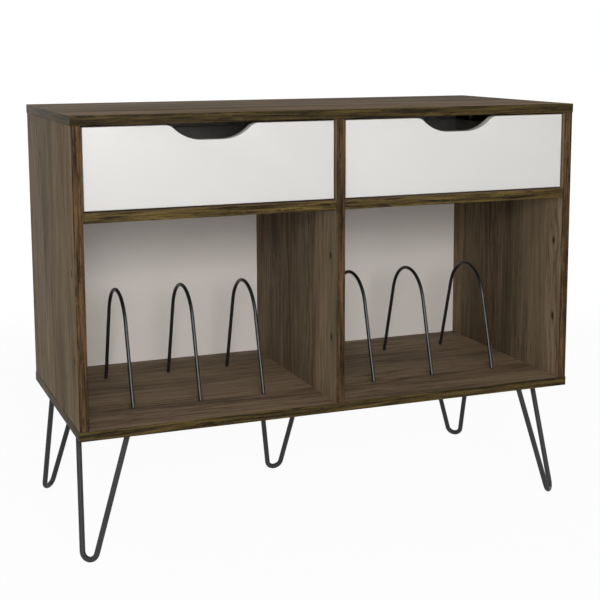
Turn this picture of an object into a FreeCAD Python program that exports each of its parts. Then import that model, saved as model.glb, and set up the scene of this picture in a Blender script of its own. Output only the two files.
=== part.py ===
"""Turntable stand: a walnut-faced cabinet on five bent-rod legs.

Two drawers with scooped fronts hang on roller runners under the top board.
Below them are two open record bays, each with three bent-wire dividers.

X runs left to right, Y from the front to the back and Z up.
The origin is on the floor, in the middle of the stand's outline.
Sizes are in millimetres and degrees.
"""
import FreeCAD, Part
import math
import os

import Sketcher

DOC = FreeCAD.newDocument("turntable_stand")

SIZES = [
    ("width", 914, "top and bottom boards, side to side"),
    ("depth", 412, "top and bottom boards, front to back"),
    ("record_bay_height", 337.9, "bottom board to the shelves"),
    ("drawer_bay_height", 138.4, "shelves to the top board"),
    ("leg_height", 214, "floor to the underside of the bottom board"),
    ("board", 15.875, "thickness of the cabinet boards and drawer fronts"),
    ("side_overhang", 1, "top and bottom boards beyond the sides"),
    ("front_recess", 0.5, "sides, divider and shelves behind the front edge"),
    ("back_board", 3, "thickness of the hardboard back"),
    ("back_margin", 2, "edge of the back inside the cabinet's outline"),
    ("wire_diameter", 6.35, "diameter of a record divider's wire"),
    ("wire_rise", 190.5, "top of a wire divider above the bottom board"),
    ("wire_spread", 210, "between the two feet of a wire divider"),
    ("wire_bend", 66.5, "bend at the top of a wire divider, at the wire's middle"),
    ("wire_kink", 8, "bend where a foot turns upright, at the wire's middle"),
    ("wire_seat", 10, "depth of a wire's foot in the board"),
    ("wire_back", 1.2, "wire dividers behind the middle of the depth"),
    ("wire_outer_left", 97, "first wire divider from the left side"),
    ("wire_middle_left", 1, "second wire divider right of its bay's middle"),
    ("wire_inner_left", 98, "third wire divider from the centre divider"),
    ("wire_inner_right", 102, "fourth wire divider from the centre divider"),
    ("wire_middle_right", 6, "fifth wire divider right of its bay's middle"),
    ("wire_outer_right", 82, "sixth wire divider from the right side"),
    ("rod_diameter", 9.5, "diameter of a leg's rod"),
    ("rod_spread", 97.4, "between the tops of a leg's rods"),
    ("rod_bend", 14.4, "bend at the foot of a leg, at the rod's middle"),
    ("leg_splay", 14.2, "lean of a leg outwards, in degrees"),
    ("leg_side_inset", 52, "corner legs from the ends of the bottom board"),
    ("leg_front_inset", 62, "front legs from the front edge"),
    ("leg_rear_inset", 48.5, "rear legs from the rear edge"),
    ("leg_centre_inset", 122, "centre leg from the rear edge"),
    ("plate", 3, "thickness of a leg's plate"),
    ("plate_nose", 12.5, "square corner of a plate beyond its rods"),
    ("plate_tail", 12, "straight edge of a plate behind its rods"),
    ("plate_margin", 13, "plate beyond each rod, along the straight edge"),
    ("plate_round", 5, "rounding of a plate's corners"),
    ("plate_hole_inset", 17, "front hole from a plate's square corner"),
    ("plate_hole_lead", 16, "middle holes in front of the rods"),
    ("plate_hole_spread", 52, "between the middle holes"),
    ("plate_hole_rear", 2, "rear hole behind the rods"),
    ("drawer_recess", 5.5, "drawer fronts behind the front edge"),
    ("drawer_gap", 3, "gap round a drawer front"),
    ("scoop_width", 158, "finger cut-out between its shoulders"),
    ("scoop_flat", 34, "flat at the bottom of the cut-out"),
    ("scoop_depth", 25, "depth of the cut-out"),
    ("scoop_shoulder", 20, "radius of the cut-out's shoulders"),
    ("drawer_side", 12, "thickness of a drawer's sides and back"),
    ("drawer_headroom", 31, "drawer's sides below the top board"),
    ("drawer_rear_room", 35.6, "drawer's sides in front of the cabinet's back"),
    ("drawer_bottom", 3, "thickness of a drawer's bottom"),
    ("groove_rise", 13, "groove above the lower edge of a drawer's side"),
    ("groove_depth", 6, "depth of the groove for the bottom"),
    ("groove_play", 0.2, "groove wider than the bottom"),
    ("runner_end_gap", 4, "runners short of the end of a drawer's side"),
    ("runner_setback", 1, "runners behind a drawer's front"),
    ("runner_lift", 8, "runners above the shelf"),
    ("gauge", 1.2, "sheet steel of the runners"),
    ("roller_diameter", 17, "diameter of a roller"),
    ("roller_width", 6.4, "width of a roller"),
    ("roller_chamfer", 0.7, "chamfer of a roller"),
    ("roller_inset", 12, "roller's axis from the end of its runner"),
    ("axle_reserve", 66, "between the two rollers' axes, drawer pulled out"),
    ("rivet_diameter", 4.1, "diameter of the pin that a roller turns on"),
    ("rivet_collar", 7, "diameter of a pin's collar and head"),
    ("rivet_head", 1, "thickness of a pin's head"),
    ("bore_play", 0.1, "roller's bore wider than its pin"),
    ("running_gap", 0.3, "gap beside, above and below a roller"),
    ("rail_gap", 0.6, "gap between the two runners of a pair"),
    ("track_lip", 3, "height of the lip on a cabinet runner"),
    ("keeper_play", 1, "upper flange above the drawer's runner"),
    ("keeper_start", 36, "upper flange from the front of its runner"),
    ("rail_foot", 10, "foot of a drawer's runner under its side"),
    ("stop_height", 4, "height of the stop lug"),
    ("stop_length", 3, "length of the stop lug"),
    ("dowel_diameter", 8, "diameter of a dowel"),
    ("dowel_inset", 32, "dowels from the front and rear edges"),
    ("dowel_face", 11, "dowel's depth in the face of a board"),
    ("dowel_end", 19, "dowel's depth in the end of a board"),
    ("cam_diameter", 15, "diameter of a cam lock of the cabinet"),
    ("cam_floor", 3.4, "wood left behind a cam lock"),
    ("cam_inset", 64, "cam locks from the front and rear edges"),
    ("cam_throw", 24, "cam lock's middle from the end of its board"),
    ("small_cam_diameter", 12, "diameter of a cam lock of a drawer"),
    ("small_cam_floor", 2, "wood left behind a drawer's cam lock"),
    ("slot_play", 0.4, "slot of a cam lock wider than its bolt"),
    ("bolt_diameter", 6, "diameter of a cam bolt's shank and head"),
    ("bolt_thread_diameter", 5, "diameter of a cam bolt's thread"),
    ("bolt_grip", 11, "length of a cam bolt's thread"),
    ("bolt_neck_diameter", 4, "diameter of a cam bolt's neck"),
    ("bolt_head", 3, "length of a cam bolt's head"),
    ("joiner_diameter", 7, "diameter of a joining screw's neck"),
    ("joiner_thread_diameter", 5, "diameter of a joining screw's thread"),
    ("joiner_head", 10, "diameter of a joining screw's head"),
    ("joiner_length", 50, "length of a joining screw"),
    ("joiner_front", 125, "front joining screws from the front edge"),
    ("joiner_rear", 157, "rear joining screws from the rear edge"),
    ("leg_screw_diameter", 4, "diameter of a leg's screw"),
    ("leg_screw_length", 14, "length of a leg's screw"),
    ("leg_screw_head", 8, "diameter of a leg's screw head"),
    ("runner_screw_diameter", 3.6, "diameter of a runner's screw"),
    ("runner_screw_length", 7, "length of a runner's screw"),
    ("runner_screw_head", 6, "diameter of a runner's screw head"),
    ("runner_screw_inset", 40, "first and last screws from a runner's ends"),
    ("box_screw_diameter", 3.6, "diameter of a drawer's screw"),
    ("box_screw_length", 32, "length of a drawer's screw"),
    ("box_screw_head", 7, "diameter of a drawer's screw head"),
    ("fixing_top", 20, "upper cam lock and screw below the top of a side"),
    ("fixing_foot", 38, "lower cam lock and screw above the foot of a side"),
    ("floor_screw_spread", 250, "outer screws under a drawer's back"),
    ("nail_diameter", 1.6, "diameter of a nail of the back"),
    ("nail_length", 20, "length of a nail"),
    ("nail_head", 0.8, "thickness of a nail's head"),
    ("nail_head_width", 4.5, "diameter of a nail's head"),
    ("hole_play", 0.1, "hole wider than what sits in it, all round"),
    ("overcut", 1, "cutting shapes beyond the face that they cut"),
]

sheet = DOC.addObject("Spreadsheet::Sheet", "sheet")
for line, (alias, number, meaning) in enumerate(SIZES, start=1):
    sheet.set(f"A{line}", meaning)
    sheet.set(f"B{line}", str(number))
    sheet.setAlias(f"B{line}", alias)
DOC.recompute()

# Places in the cabinet, as expressions on the sheet.
# They start at the front edge, the middle of the width and the underside.
FRONT = "(-(sheet.depth + sheet.back_board + sheet.nail_head) / 2)"
UNDERSIDE = "sheet.leg_height"
SIDE_FACE = "(sheet.width / 2 - sheet.side_overhang - sheet.board)"
BAY_WIDTH = f"({SIDE_FACE} - sheet.board / 2)"
BAY_MIDDLE = f"(({SIDE_FACE} + sheet.board / 2) / 2)"
SHELF_UNDER = "(sheet.board + sheet.record_bay_height)"
SHELF_CORE = f"({SHELF_UNDER} + sheet.board / 2)"
SHELF_TOP = f"({SHELF_UNDER} + sheet.board)"
UPRIGHT_TOP = f"({SHELF_TOP} + sheet.drawer_bay_height)"
CABINET_TOP = f"({UPRIGHT_TOP} + sheet.board)"
UPRIGHTS = {
    "left": f"(-{SIDE_FACE} - sheet.board / 2)",
    "centre": "0",
    "right": f"({SIDE_FACE} + sheet.board / 2)",
}

# A roller and its pin fill the space beside a drawer, out from the cabinet.
ROLLER_IN = "(sheet.gauge + 2 * sheet.running_gap + sheet.rivet_head)"
ROLLER_OUT = f"({ROLLER_IN} + sheet.roller_width)"
TRACK_WIDTH = f"({ROLLER_OUT} + sheet.running_gap + sheet.gauge)"
RAIL_FACE = f"({TRACK_WIDTH} + sheet.rail_gap)"
RUNNER_SPACE = f"({RAIL_FACE} + sheet.gauge)"

# Heights above the foot of a pair of runners.
AXLE_RISE = "(sheet.gauge + sheet.running_gap + sheet.roller_diameter / 2)"
RAIL_UNDER = f"({AXLE_RISE} + sheet.roller_diameter / 2 + sheet.running_gap)"
RAIL_TOP = f"({RAIL_UNDER} + sheet.gauge)"
KEEPER_UNDER = f"({RAIL_TOP} + sheet.keeper_play)"
KEEPER_TOP = f"({KEEPER_UNDER} + sheet.gauge)"

# Places of a drawer and its runners.
FRONT_BACK = "(sheet.drawer_recess + sheet.board)"
FRONT_FOOT = f"({SHELF_TOP} + sheet.drawer_gap)"
FRONT_TOP = f"({UPRIGHT_TOP} - sheet.drawer_gap)"
BOX_HALF = f"({BAY_WIDTH} / 2 - {RUNNER_SPACE})"
BOX_INNER_HALF = f"({BOX_HALF} - sheet.drawer_side)"
BOX_REAR = "(sheet.depth - sheet.drawer_rear_room)"
RUNNER_FOOT = f"({SHELF_TOP} + sheet.runner_lift)"
BOX_FOOT = f"({RUNNER_FOOT} + sheet.gauge)"
BOX_TOP = f"({UPRIGHT_TOP} - sheet.drawer_headroom)"
BOX_FLOOR = f"({BOX_FOOT} + sheet.groove_rise)"
GROOVE_TOP = f"({BOX_FLOOR} + sheet.drawer_bottom + sheet.groove_play)"
RUNNER_FRONT = f"({FRONT_BACK} + sheet.runner_setback)"
RUNNER_REAR = f"({BOX_REAR} - sheet.runner_end_gap)"
FRONT_AXLE = f"({RUNNER_FRONT} + sheet.roller_inset)"
REAR_AXLE = f"({RUNNER_REAR} - sheet.roller_inset)"

UP = FreeCAD.Vector(0, 0, 1)
DOWN = FreeCAD.Vector(0, 0, -1)
RIGHT = FreeCAD.Vector(1, 0, 0)
LEFT = FreeCAD.Vector(-1, 0, 0)
BACK = FreeCAD.Vector(0, 1, 0)
FORWARD = FreeCAD.Vector(0, -1, 0)

# The three base planes, and how each one's normal points along its axis.
NORMAL_SENSE = {"XY_Plane": 1, "XZ_Plane": -1, "YZ_Plane": 1}

# A sketch's own axes, and the points of a line, an arc or a circle.
ACROSS_AXIS = -1
UPRIGHT_AXIS = -2
START = 1
END = 2
CENTRE = 3
FULL_TURN = 360

# The least volume that a cut has to take away, in cubic millimetres.
LEAST_CUT = 1

nodes = {}


def value(expression):
    """Return the number that an expression on the sheet gives."""
    result = sheet.evalExpression(str(expression))
    return float(getattr(result, "Value", result))


def bind(item, prop, expression):
    """Tie one property of an object to an expression on the sheet."""
    item.setExpression(prop, str(expression))


def place(item, x="0", y="0", z="0", turn=None):
    """Put an object at a place in the cabinet, turned from its own axes."""
    item.Placement = FreeCAD.Placement(FreeCAD.Vector(), turn or FreeCAD.Rotation())
    bind(item, "Placement.Base.x", x)
    bind(item, "Placement.Base.y", f"{FRONT} + ({y})")
    bind(item, "Placement.Base.z", f"{UNDERSIDE} + ({z})")


def new_body(label):
    body = DOC.addObject("PartDesign::Body", label)
    body.Label = label
    return body


def sketch_on(body, role, offset="0", shift=("0", "0")):
    """Start a sketch on a base plane of a body, offset along the plane's axis."""
    sketch = body.newObject("Sketcher::SketchObject", f"{body.Name}_sketch")
    plane = next(f for f in body.Origin.OriginFeatures if f.Role == role)
    sketch.AttachmentSupport = (plane, [""])
    sketch.MapMode = "FlatFace"
    bind(sketch, "AttachmentOffset.Base.x", shift[0])
    bind(sketch, "AttachmentOffset.Base.y", shift[1])
    bind(sketch, "AttachmentOffset.Base.z", f"{NORMAL_SENSE[role]} * ({offset})")
    return sketch


def pin(sketch, shape, point, x, y):
    """Hold a point of a sketch at x, y from the sketch's origin."""
    ways = ((x, "DistanceX", UPRIGHT_AXIS), (y, "DistanceY", ACROSS_AXIS))
    for text, kind, axis in ways:
        if text == "0":
            sketch.addConstraint(
                Sketcher.Constraint("PointOnObject", shape, point, axis)
            )
            continue
        index = sketch.addConstraint(
            Sketcher.Constraint(kind, ACROSS_AXIS, START, shape, point, value(text))
        )
        bind(sketch, f"Constraints[{index}]", text)


def measure(sketch, kind, expression, *where):
    """Add a dimension to a sketch, tied to an expression."""
    index = sketch.addConstraint(Sketcher.Constraint(kind, *where, value(expression)))
    bind(sketch, f"Constraints[{index}]", expression)


def outline(sketch, corners):
    """Draw a closed outline of straight lines through the given corners."""
    spots = [FreeCAD.Vector(value(x), value(y), 0) for x, y in corners]
    for start, end in zip(spots, spots[1:] + spots[:1]):
        sketch.addGeometry(Part.LineSegment(start, end))
    count = len(spots)
    for index, (x, y) in enumerate(corners):
        sketch.addConstraint(
            Sketcher.Constraint("Coincident", index, END, (index + 1) % count, START)
        )
        pin(sketch, index, START, x, y)


def rectangle(sketch, x0, x1, y0, y1):
    outline(sketch, [(x0, y0), (x1, y0), (x1, y1), (x0, y1)])


def plane_role(sketch):
    return sketch.AttachmentSupport[0][0].Role


def pad(body, sketch, length):
    """Thicken a sketch along its plane's axis, in the axis's own sense."""
    feature = body.newObject("PartDesign::Pad", f"{body.Name}_pad")
    feature.Profile = sketch
    feature.Reversed = NORMAL_SENSE[plane_role(sketch)] < 0
    bind(feature, "Length", length)
    DOC.recompute()
    return feature


def pocket(body, sketch, length, sense):
    """Cut a sketch into a body, along its plane's axis or against it."""
    before = body.Shape.Volume
    feature = body.newObject("PartDesign::Pocket", f"{body.Name}_pocket")
    feature.Profile = sketch
    feature.Reversed = NORMAL_SENSE[plane_role(sketch)] * sense > 0
    bind(feature, "Length", length)
    DOC.recompute()
    if body.Shape.Volume > before - LEAST_CUT:
        raise RuntimeError(f"{feature.Name} cuts nothing")
    return feature


def revolve(body, sketch, axis):
    """Turn a sketch a full turn about one of its own axes."""
    feature = body.newObject("PartDesign::Revolution", f"{body.Name}_turn")
    feature.Profile = sketch
    feature.ReferenceAxis = (sketch, [axis])
    feature.Angle = FULL_TURN
    DOC.recompute()
    return feature


def mirror_feature(body, feature, role):
    """Mirror a feature of a body about one of the body's base planes."""
    twin = body.newObject("PartDesign::Mirrored", f"{body.Name}_twin")
    twin.Originals = [feature]
    plane = next(f for f in body.Origin.OriginFeatures if f.Role == role)
    twin.MirrorPlane = (plane, [""])
    body.Tip = twin
    DOC.recompute()
    return twin


def slab(label, role, offset, thickness, limits):
    """Make a board: a rectangle on a base plane, thickened along its axis."""
    body = new_body(label)
    sketch = sketch_on(body, role, offset)
    rectangle(sketch, *limits)
    pad(body, sketch, thickness)
    return body


def sweep_round(body, path, diameter, height):
    """Sweep a round section along half a path, then mirror it."""
    section = sketch_on(body, "XZ_Plane")
    spot = FreeCAD.Vector(0, value(height), 0)
    circle = Part.Circle(spot, UP, value(diameter) / 2)
    ring = section.addGeometry(circle)
    pin(section, ring, CENTRE, "0", height)
    measure(section, "Diameter", diameter, ring)
    half = body.newObject("PartDesign::AdditivePipe", f"{body.Name}_half")
    half.Profile = section
    half.Spine = path
    DOC.recompute()
    mirror_feature(body, half, "XZ_Plane")


def lathe(label, profile):
    """Make a round piece on the Z axis from (radius, height) pairs."""
    body = new_body(label)
    sketch = sketch_on(body, "XZ_Plane")
    outline(sketch, profile)
    revolve(body, sketch, "V_Axis")
    return body


def copy_of(source, x, y, z, facing=UP, ahead=None):
    """Copy a piece to a place, its Z axis facing one way and its X another."""
    if ahead is None:
        turn = FreeCAD.Rotation(UP, facing)
    else:
        turn = FreeCAD.Rotation(ahead, FreeCAD.Vector(), facing, "ZXY")
    link = DOC.addObject("App::Link", f"{source.Name}_copy")
    link.LinkedObject = source
    place(link, x, y, z, turn)
    return link


def copies(label, source, places):
    """Group copies of a piece, each with the place and directions given."""
    bunch = DOC.addObject("Part::Compound", label)
    bunch.Links = [copy_of(source, *where) for where in places]
    return bunch


def drilled(label, blank, tools):
    """Cut groups of holes out of a blank, and keep the result as a node."""
    shape = blank
    for tool in tools:
        cut = DOC.addObject("Part::Cut", f"{label}_drilled")
        cut.Base = shape
        cut.Tool = tool
        shape = cut
    keep(label, shape)


def keep(label, item):
    item.Label = label
    nodes[label] = item


def fused(label, pieces):
    joined = DOC.addObject("Part::MultiFuse", label)
    joined.Shapes = pieces
    return joined


# Fasteners and the holes that they sit in.
# Each is drawn on the Z axis, and its hole is a little larger all round.


def screw(label, name, play="0", clear="0"):
    """Make a countersunk screw, head up at 0, from the sizes with this name."""
    head = f"(sheet.{name}_head / 2 + {play})"
    shank = f"(sheet.{name}_diameter / 2 + {play})"
    cone = f"((sheet.{name}_head - sheet.{name}_diameter) / 2)"
    tip = f"-(sheet.{name}_length + {play})"
    profile = [("0", clear), (head, clear)]
    if clear != "0":
        profile.append((head, "0"))
    profile += [(shank, f"-{cone}"), (shank, tip), ("0", tip)]
    return lathe(label, profile)


def joiner(label, play="0", clear="0"):
    """Make a joining screw: its neck fills one board and its thread the next."""
    head = f"(sheet.joiner_head / 2 + {play})"
    neck = f"(sheet.joiner_diameter / 2 + {play})"
    thread = f"(sheet.joiner_thread_diameter / 2 + {play})"
    cone = "(-(sheet.joiner_head - sheet.joiner_diameter) / 2)"
    shoulder = "-sheet.board"
    tip = f"-(sheet.joiner_length + {play})"
    profile = [("0", clear), (head, clear)]
    if clear != "0":
        profile.append((head, "0"))
    profile += [(neck, cone), (neck, shoulder), (thread, shoulder)]
    profile += [(thread, tip), ("0", tip)]
    return lathe(label, profile)


def rod_piece(label, diameter, low, high, play="0"):
    """Make a plain round rod on the Z axis, between two heights."""
    radius = f"({diameter} / 2 + {play})"
    foot = f"({low} - {play})"
    top = f"({high} + {play})"
    return lathe(label, [("0", foot), (radius, foot), (radius, top), ("0", top)])


def bolt_half(play):
    """Outline a cam bolt from its board's face to its head in the cam lock."""
    shank = f"(sheet.bolt_diameter / 2 + {play})"
    head_foot = "(sheet.cam_throw - sheet.bolt_head / 2)"
    head_top = "(sheet.cam_throw + sheet.bolt_head / 2)"
    if play != "0":
        return [(shank, head_top), ("0", head_top)]
    neck = "(sheet.bolt_neck_diameter / 2)"
    neck_foot = "(sheet.cam_throw - sheet.cam_diameter / 2)"
    return [
        (shank, neck_foot),
        (neck, neck_foot),
        (neck, head_foot),
        (shank, head_foot),
        (shank, head_top),
        ("0", head_top),
    ]


def cam_bolt(label, play="0"):
    """Make a bolt: thread down into one board, head up in a cam lock."""
    shank = f"(sheet.bolt_diameter / 2 + {play})"
    thread = f"(sheet.bolt_thread_diameter / 2 + {play})"
    tip = f"-(sheet.bolt_grip + {play})"
    foot = [("0", tip), (thread, tip), (thread, "0"), (shank, "0")]
    return lathe(label, foot + bolt_half(play))


def through_bolt(label, play="0"):
    """Make a bolt with a head at both ends, through a whole board."""
    upper = [(r, f"(sheet.board / 2 + {rise})") for r, rise in bolt_half(play)]
    lower = [(r, f"-{rise}") for r, rise in reversed(upper)]
    return lathe(label, lower + upper)


def cam_lock(label, diameter, board, floor):
    """Make a cam lock, face up at 0, with its slot open towards +X."""
    radius = f"({diameter} / 2)"
    foot = f"-({board} - {floor})"
    body = lathe(label, [("0", "0"), (radius, "0"), (radius, foot), ("0", foot)])
    beyond = "(sheet.bolt_head / 2 + sheet.hole_play)"
    sketch = sketch_on(body, "YZ_Plane", f"-{beyond}")
    half = "((sheet.bolt_diameter + sheet.slot_play) / 2)"
    axis = f"(-{board} / 2)"
    rectangle(sketch, f"-{half}", half, f"({axis} - {half})", f"({axis} + {half})")
    pocket(body, sketch, f"{radius} + {beyond} + sheet.overcut", 1)
    return body


def nail(label):
    shank = "(sheet.nail_diameter / 2)"
    head = "(sheet.nail_head_width / 2)"
    tip = "-sheet.nail_length"
    profile = [("0", "sheet.nail_head"), (head, "sheet.nail_head"), (head, "0")]
    return lathe(label, profile + [(shank, "0"), (shank, tip), ("0", tip)])


PLAY = "sheet.hole_play"
CLEAR = "sheet.overcut"
CAM_HOLE_FOOT = "(sheet.cam_floor - sheet.board)"
SMALL_CAM_HOLE_FOOT = "(sheet.small_cam_floor - sheet.drawer_side)"

# The pieces that are used many times, and the holes for them.
LEG_SCREW = screw("leg_screw", "leg_screw")
LEG_SCREW_HOLE = screw("leg_screw_hole", "leg_screw", PLAY, CLEAR)
RUNNER_SCREW = screw("runner_screw", "runner_screw")
RUNNER_SCREW_HOLE = screw("runner_screw_hole", "runner_screw", PLAY, CLEAR)
BOX_SCREW = screw("box_screw", "box_screw")
BOX_SCREW_HOLE = screw("box_screw_hole", "box_screw", PLAY, CLEAR)
JOINER = joiner("joiner")
JOINER_HOLE = joiner("joiner_hole", PLAY, CLEAR)
BOLT = cam_bolt("cam_bolt")
BOLT_HOLE = cam_bolt("cam_bolt_hole", PLAY)
THROUGH_BOLT = through_bolt("through_bolt")
THROUGH_BOLT_HOLE = through_bolt("through_bolt_hole", PLAY)
CAM = cam_lock("cam", "sheet.cam_diameter", "sheet.board", "sheet.cam_floor")
CAM_HOLE = rod_piece("cam_hole", "sheet.cam_diameter", CAM_HOLE_FOOT, CLEAR, PLAY)
SMALL_CAM = cam_lock(
    "small_cam", "sheet.small_cam_diameter", "sheet.drawer_side", "sheet.small_cam_floor"
)
SMALL_CAM_HOLE = rod_piece(
    "small_cam_hole", "sheet.small_cam_diameter", SMALL_CAM_HOLE_FOOT, CLEAR, PLAY
)
NAIL = nail("nail")
NAIL_HOLE = rod_piece("nail_hole", "sheet.nail_diameter", "-sheet.nail_length", CLEAR, PLAY)

# A dowel reaches a depth down into an end and another up into a face.
# The divider's dowels go right through it, into the end of both shelves.
FACE_AND_END = ("sheet.dowel_diameter", "-sheet.dowel_end", "sheet.dowel_face")
BOTH_ENDS = "sheet.board / 2 + sheet.dowel_end"
THROUGH = ("sheet.dowel_diameter", f"-({BOTH_ENDS})", f"({BOTH_ENDS})")
DOWEL = rod_piece("dowel", *FACE_AND_END)
DOWEL_HOLE = rod_piece("dowel_hole", *FACE_AND_END, PLAY)
LONG_DOWEL = rod_piece("long_dowel", *THROUGH)
LONG_DOWEL_HOLE = rod_piece("long_dowel_hole", *THROUGH, PLAY)


def from_both_edges(inset):
    return (f"sheet.{inset}", f"(sheet.depth - sheet.{inset})")


# Cam locks and their bolts, in two rows.
# They hold the uprights to the top board and the shelves to the uprights.
CAM_FACES = {
    "left": (f"-{SIDE_FACE}", RIGHT),
    "centre": ("(-sheet.board / 2)", LEFT),
    "right": (SIDE_FACE, LEFT),
}
bolt_places = []
through_bolt_places = []
cam_places = []
for row in from_both_edges("cam_inset"):
    for upright, middle in UPRIGHTS.items():
        face, outwards = CAM_FACES[upright]
        bolt_places.append((middle, row, UPRIGHT_TOP, DOWN))
        cam_places.append(
            (face, row, f"({UPRIGHT_TOP} - sheet.cam_throw)", outwards, UP)
        )
    bolt_places.append((f"-{SIDE_FACE}", row, SHELF_CORE, RIGHT))
    bolt_places.append((SIDE_FACE, row, SHELF_CORE, LEFT))
    through_bolt_places.append(("0", row, SHELF_CORE, RIGHT))
    outer = f"({SIDE_FACE} - sheet.cam_throw)"
    inner = "(sheet.board / 2 + sheet.cam_throw)"
    cam_places.append((f"-{outer}", row, SHELF_TOP, UP, LEFT))
    cam_places.append((f"-{inner}", row, SHELF_TOP, UP, RIGHT))
    cam_places.append((inner, row, SHELF_TOP, UP, LEFT))
    cam_places.append((outer, row, SHELF_TOP, UP, RIGHT))

# Dowels at the same joints and under the uprights.
dowel_places = []
long_dowel_places = []
for row in from_both_edges("dowel_inset"):
    for middle in UPRIGHTS.values():
        dowel_places.append((middle, row, UPRIGHT_TOP, UP))
        dowel_places.append((middle, row, "sheet.board", DOWN))
    dowel_places.append((f"-{SIDE_FACE}", row, SHELF_CORE, LEFT))
    dowel_places.append((SIDE_FACE, row, SHELF_CORE, RIGHT))
    long_dowel_places.append(("0", row, SHELF_CORE, RIGHT))

# Joining screws from below into the uprights.
JOINER_ROWS = ("sheet.joiner_front", "(sheet.depth - sheet.joiner_rear)")
joiner_places = [
    (middle, row, "0", DOWN) for row in JOINER_ROWS for middle in UPRIGHTS.values()
]

# Nails of the back: along the top and bottom boards, uprights and shelves.
BACK_FACE = "(sheet.depth + sheet.back_board)"
BAYS = {"left": f"(-{BAY_MIDDLE})", "right": BAY_MIDDLE}
NAIL_RAILS = ("(sheet.board / 2)", f"({CABINET_TOP} - sheet.board / 2)")
NAIL_HEIGHTS = (
    "(sheet.board + sheet.record_bay_height / 2)",
    f"({SHELF_TOP} + sheet.drawer_bay_height / 2)",
)
nail_places = []
for across in (*UPRIGHTS.values(), *BAYS.values()):
    for height in NAIL_RAILS:
        nail_places.append((across, BACK_FACE, height, BACK))
for middle in UPRIGHTS.values():
    for height in NAIL_HEIGHTS:
        nail_places.append((middle, BACK_FACE, height, BACK))
for middle in BAYS.values():
    nail_places.append((middle, BACK_FACE, SHELF_CORE, BACK))

joint_holes = [
    copies("bolt_holes", BOLT_HOLE, bolt_places),
    copies("through_bolt_holes", THROUGH_BOLT_HOLE, through_bolt_places),
    copies("cam_holes", CAM_HOLE, cam_places),
    copies("dowel_holes", DOWEL_HOLE, dowel_places),
    copies("long_dowel_holes", LONG_DOWEL_HOLE, long_dowel_places),
    copies("joiner_holes", JOINER_HOLE, joiner_places),
    copies("nail_holes", NAIL_HOLE, nail_places),
]


def group(label, *parts):
    """Keep several groups of like fasteners as one node."""
    bunch = DOC.addObject("Part::Compound", label)
    bunch.Links = list(parts)
    keep(label, bunch)


group("cam_locks", copies("cams", CAM, cam_places))
group(
    "cam_bolts",
    copies("bolts", BOLT, bolt_places),
    copies("through_bolts", THROUGH_BOLT, through_bolt_places),
)
group(
    "dowels",
    copies("short_dowels", DOWEL, dowel_places),
    copies("long_dowels", LONG_DOWEL, long_dowel_places),
)
group("joining_screws", copies("joiners", JOINER, joiner_places))
group("back_nails", copies("nails", NAIL, nail_places))


# Legs: one rod bent to a narrow V, welded to a plate under the board.
# A leg stands on its origin's Z axis, with its splay and square corner
# towards +X.
LEAN = "(sheet.leg_splay * 1 deg)"
PLATE_CORNER = "(sheet.rod_spread / 2 + sheet.plate_nose)"
PLATE_REACH = "(sheet.rod_spread / 2 + sheet.plate_margin)"


def hairpin():
    """Bend the rod in its own plane, then lean the plane outwards."""
    body = new_body("hairpin")
    path = sketch_on(body, "YZ_Plane")
    foot = f"(-(sheet.leg_height - sheet.rod_diameter / 2) / cos({LEAN}))"
    centre = f"({foot} + sheet.rod_bend)"
    top = f"(-sheet.plate / 2 / cos({LEAN}))"
    half = "(sheet.rod_spread / 2)"
    radius = value("sheet.rod_bend")
    hub = FreeCAD.Vector(0, value(centre), 0)
    tip = FreeCAD.Vector(value(half), value(top), 0)
    reach = tip - hub
    turn = math.atan2(reach.y, reach.x) - math.acos(radius / reach.Length)
    start = hub + FreeCAD.Vector(math.cos(turn), math.sin(turn), 0) * radius
    circle = Part.Circle(hub, UP, radius)
    bend = path.addGeometry(Part.ArcOfCircle(circle, -math.pi / 2, turn))
    shank = path.addGeometry(Part.LineSegment(start, tip))
    path.addConstraint(Sketcher.Constraint("Tangent", bend, END, shank, START))
    pin(path, bend, CENTRE, "0", centre)
    pin(path, bend, START, "0", foot)
    pin(path, shank, END, half, top)
    sweep_round(body, path, "sheet.rod_diameter", foot)
    lean = FreeCAD.Rotation(FORWARD, value("sheet.leg_splay"))
    body.Placement = FreeCAD.Placement(FreeCAD.Vector(), lean)
    bind(body, "Placement.Rotation.Angle", LEAN)
    return body


def leg_plate():
    body = new_body("leg_plate")
    sketch = sketch_on(body, "XY_Plane", "-sheet.plate")
    shoulder = f"({PLATE_CORNER} - {PLATE_REACH})"
    tail = "(-sheet.plate_tail)"
    corners = [
        (PLATE_CORNER, "0"),
        (shoulder, PLATE_REACH),
        (tail, PLATE_REACH),
        (tail, f"(-{PLATE_REACH})"),
        (shoulder, f"(-{PLATE_REACH})"),
    ]
    outline(sketch, corners)
    blank = pad(body, sketch, "sheet.plate")
    upright_edges = [
        f"Edge{number}"
        for number, edge in enumerate(blank.Shape.Edges, start=1)
        if edge.BoundBox.ZLength > value("sheet.plate") / 2
    ]
    rounding = body.newObject("PartDesign::Fillet", "leg_plate_corners")
    rounding.Base = (blank, upright_edges)
    bind(rounding, "Radius", "sheet.plate_round")
    return body


LEG = fused("leg", [hairpin(), leg_plate()])
LEG_SIDE = "(sheet.width / 2 - sheet.leg_side_inset)"
LEG_REAR = "(sheet.depth - sheet.leg_rear_inset)"
LEGS = {
    "front_left_leg": (f"(-{LEG_SIDE})", "sheet.leg_front_inset", LEFT + FORWARD),
    "front_right_leg": (LEG_SIDE, "sheet.leg_front_inset", RIGHT + FORWARD),
    "rear_left_leg": (f"(-{LEG_SIDE})", LEG_REAR, LEFT + BACK),
    "rear_right_leg": (LEG_SIDE, LEG_REAR, RIGHT + BACK),
    "centre_leg": ("0", "(sheet.depth - sheet.leg_centre_inset)", BACK),
}

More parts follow.
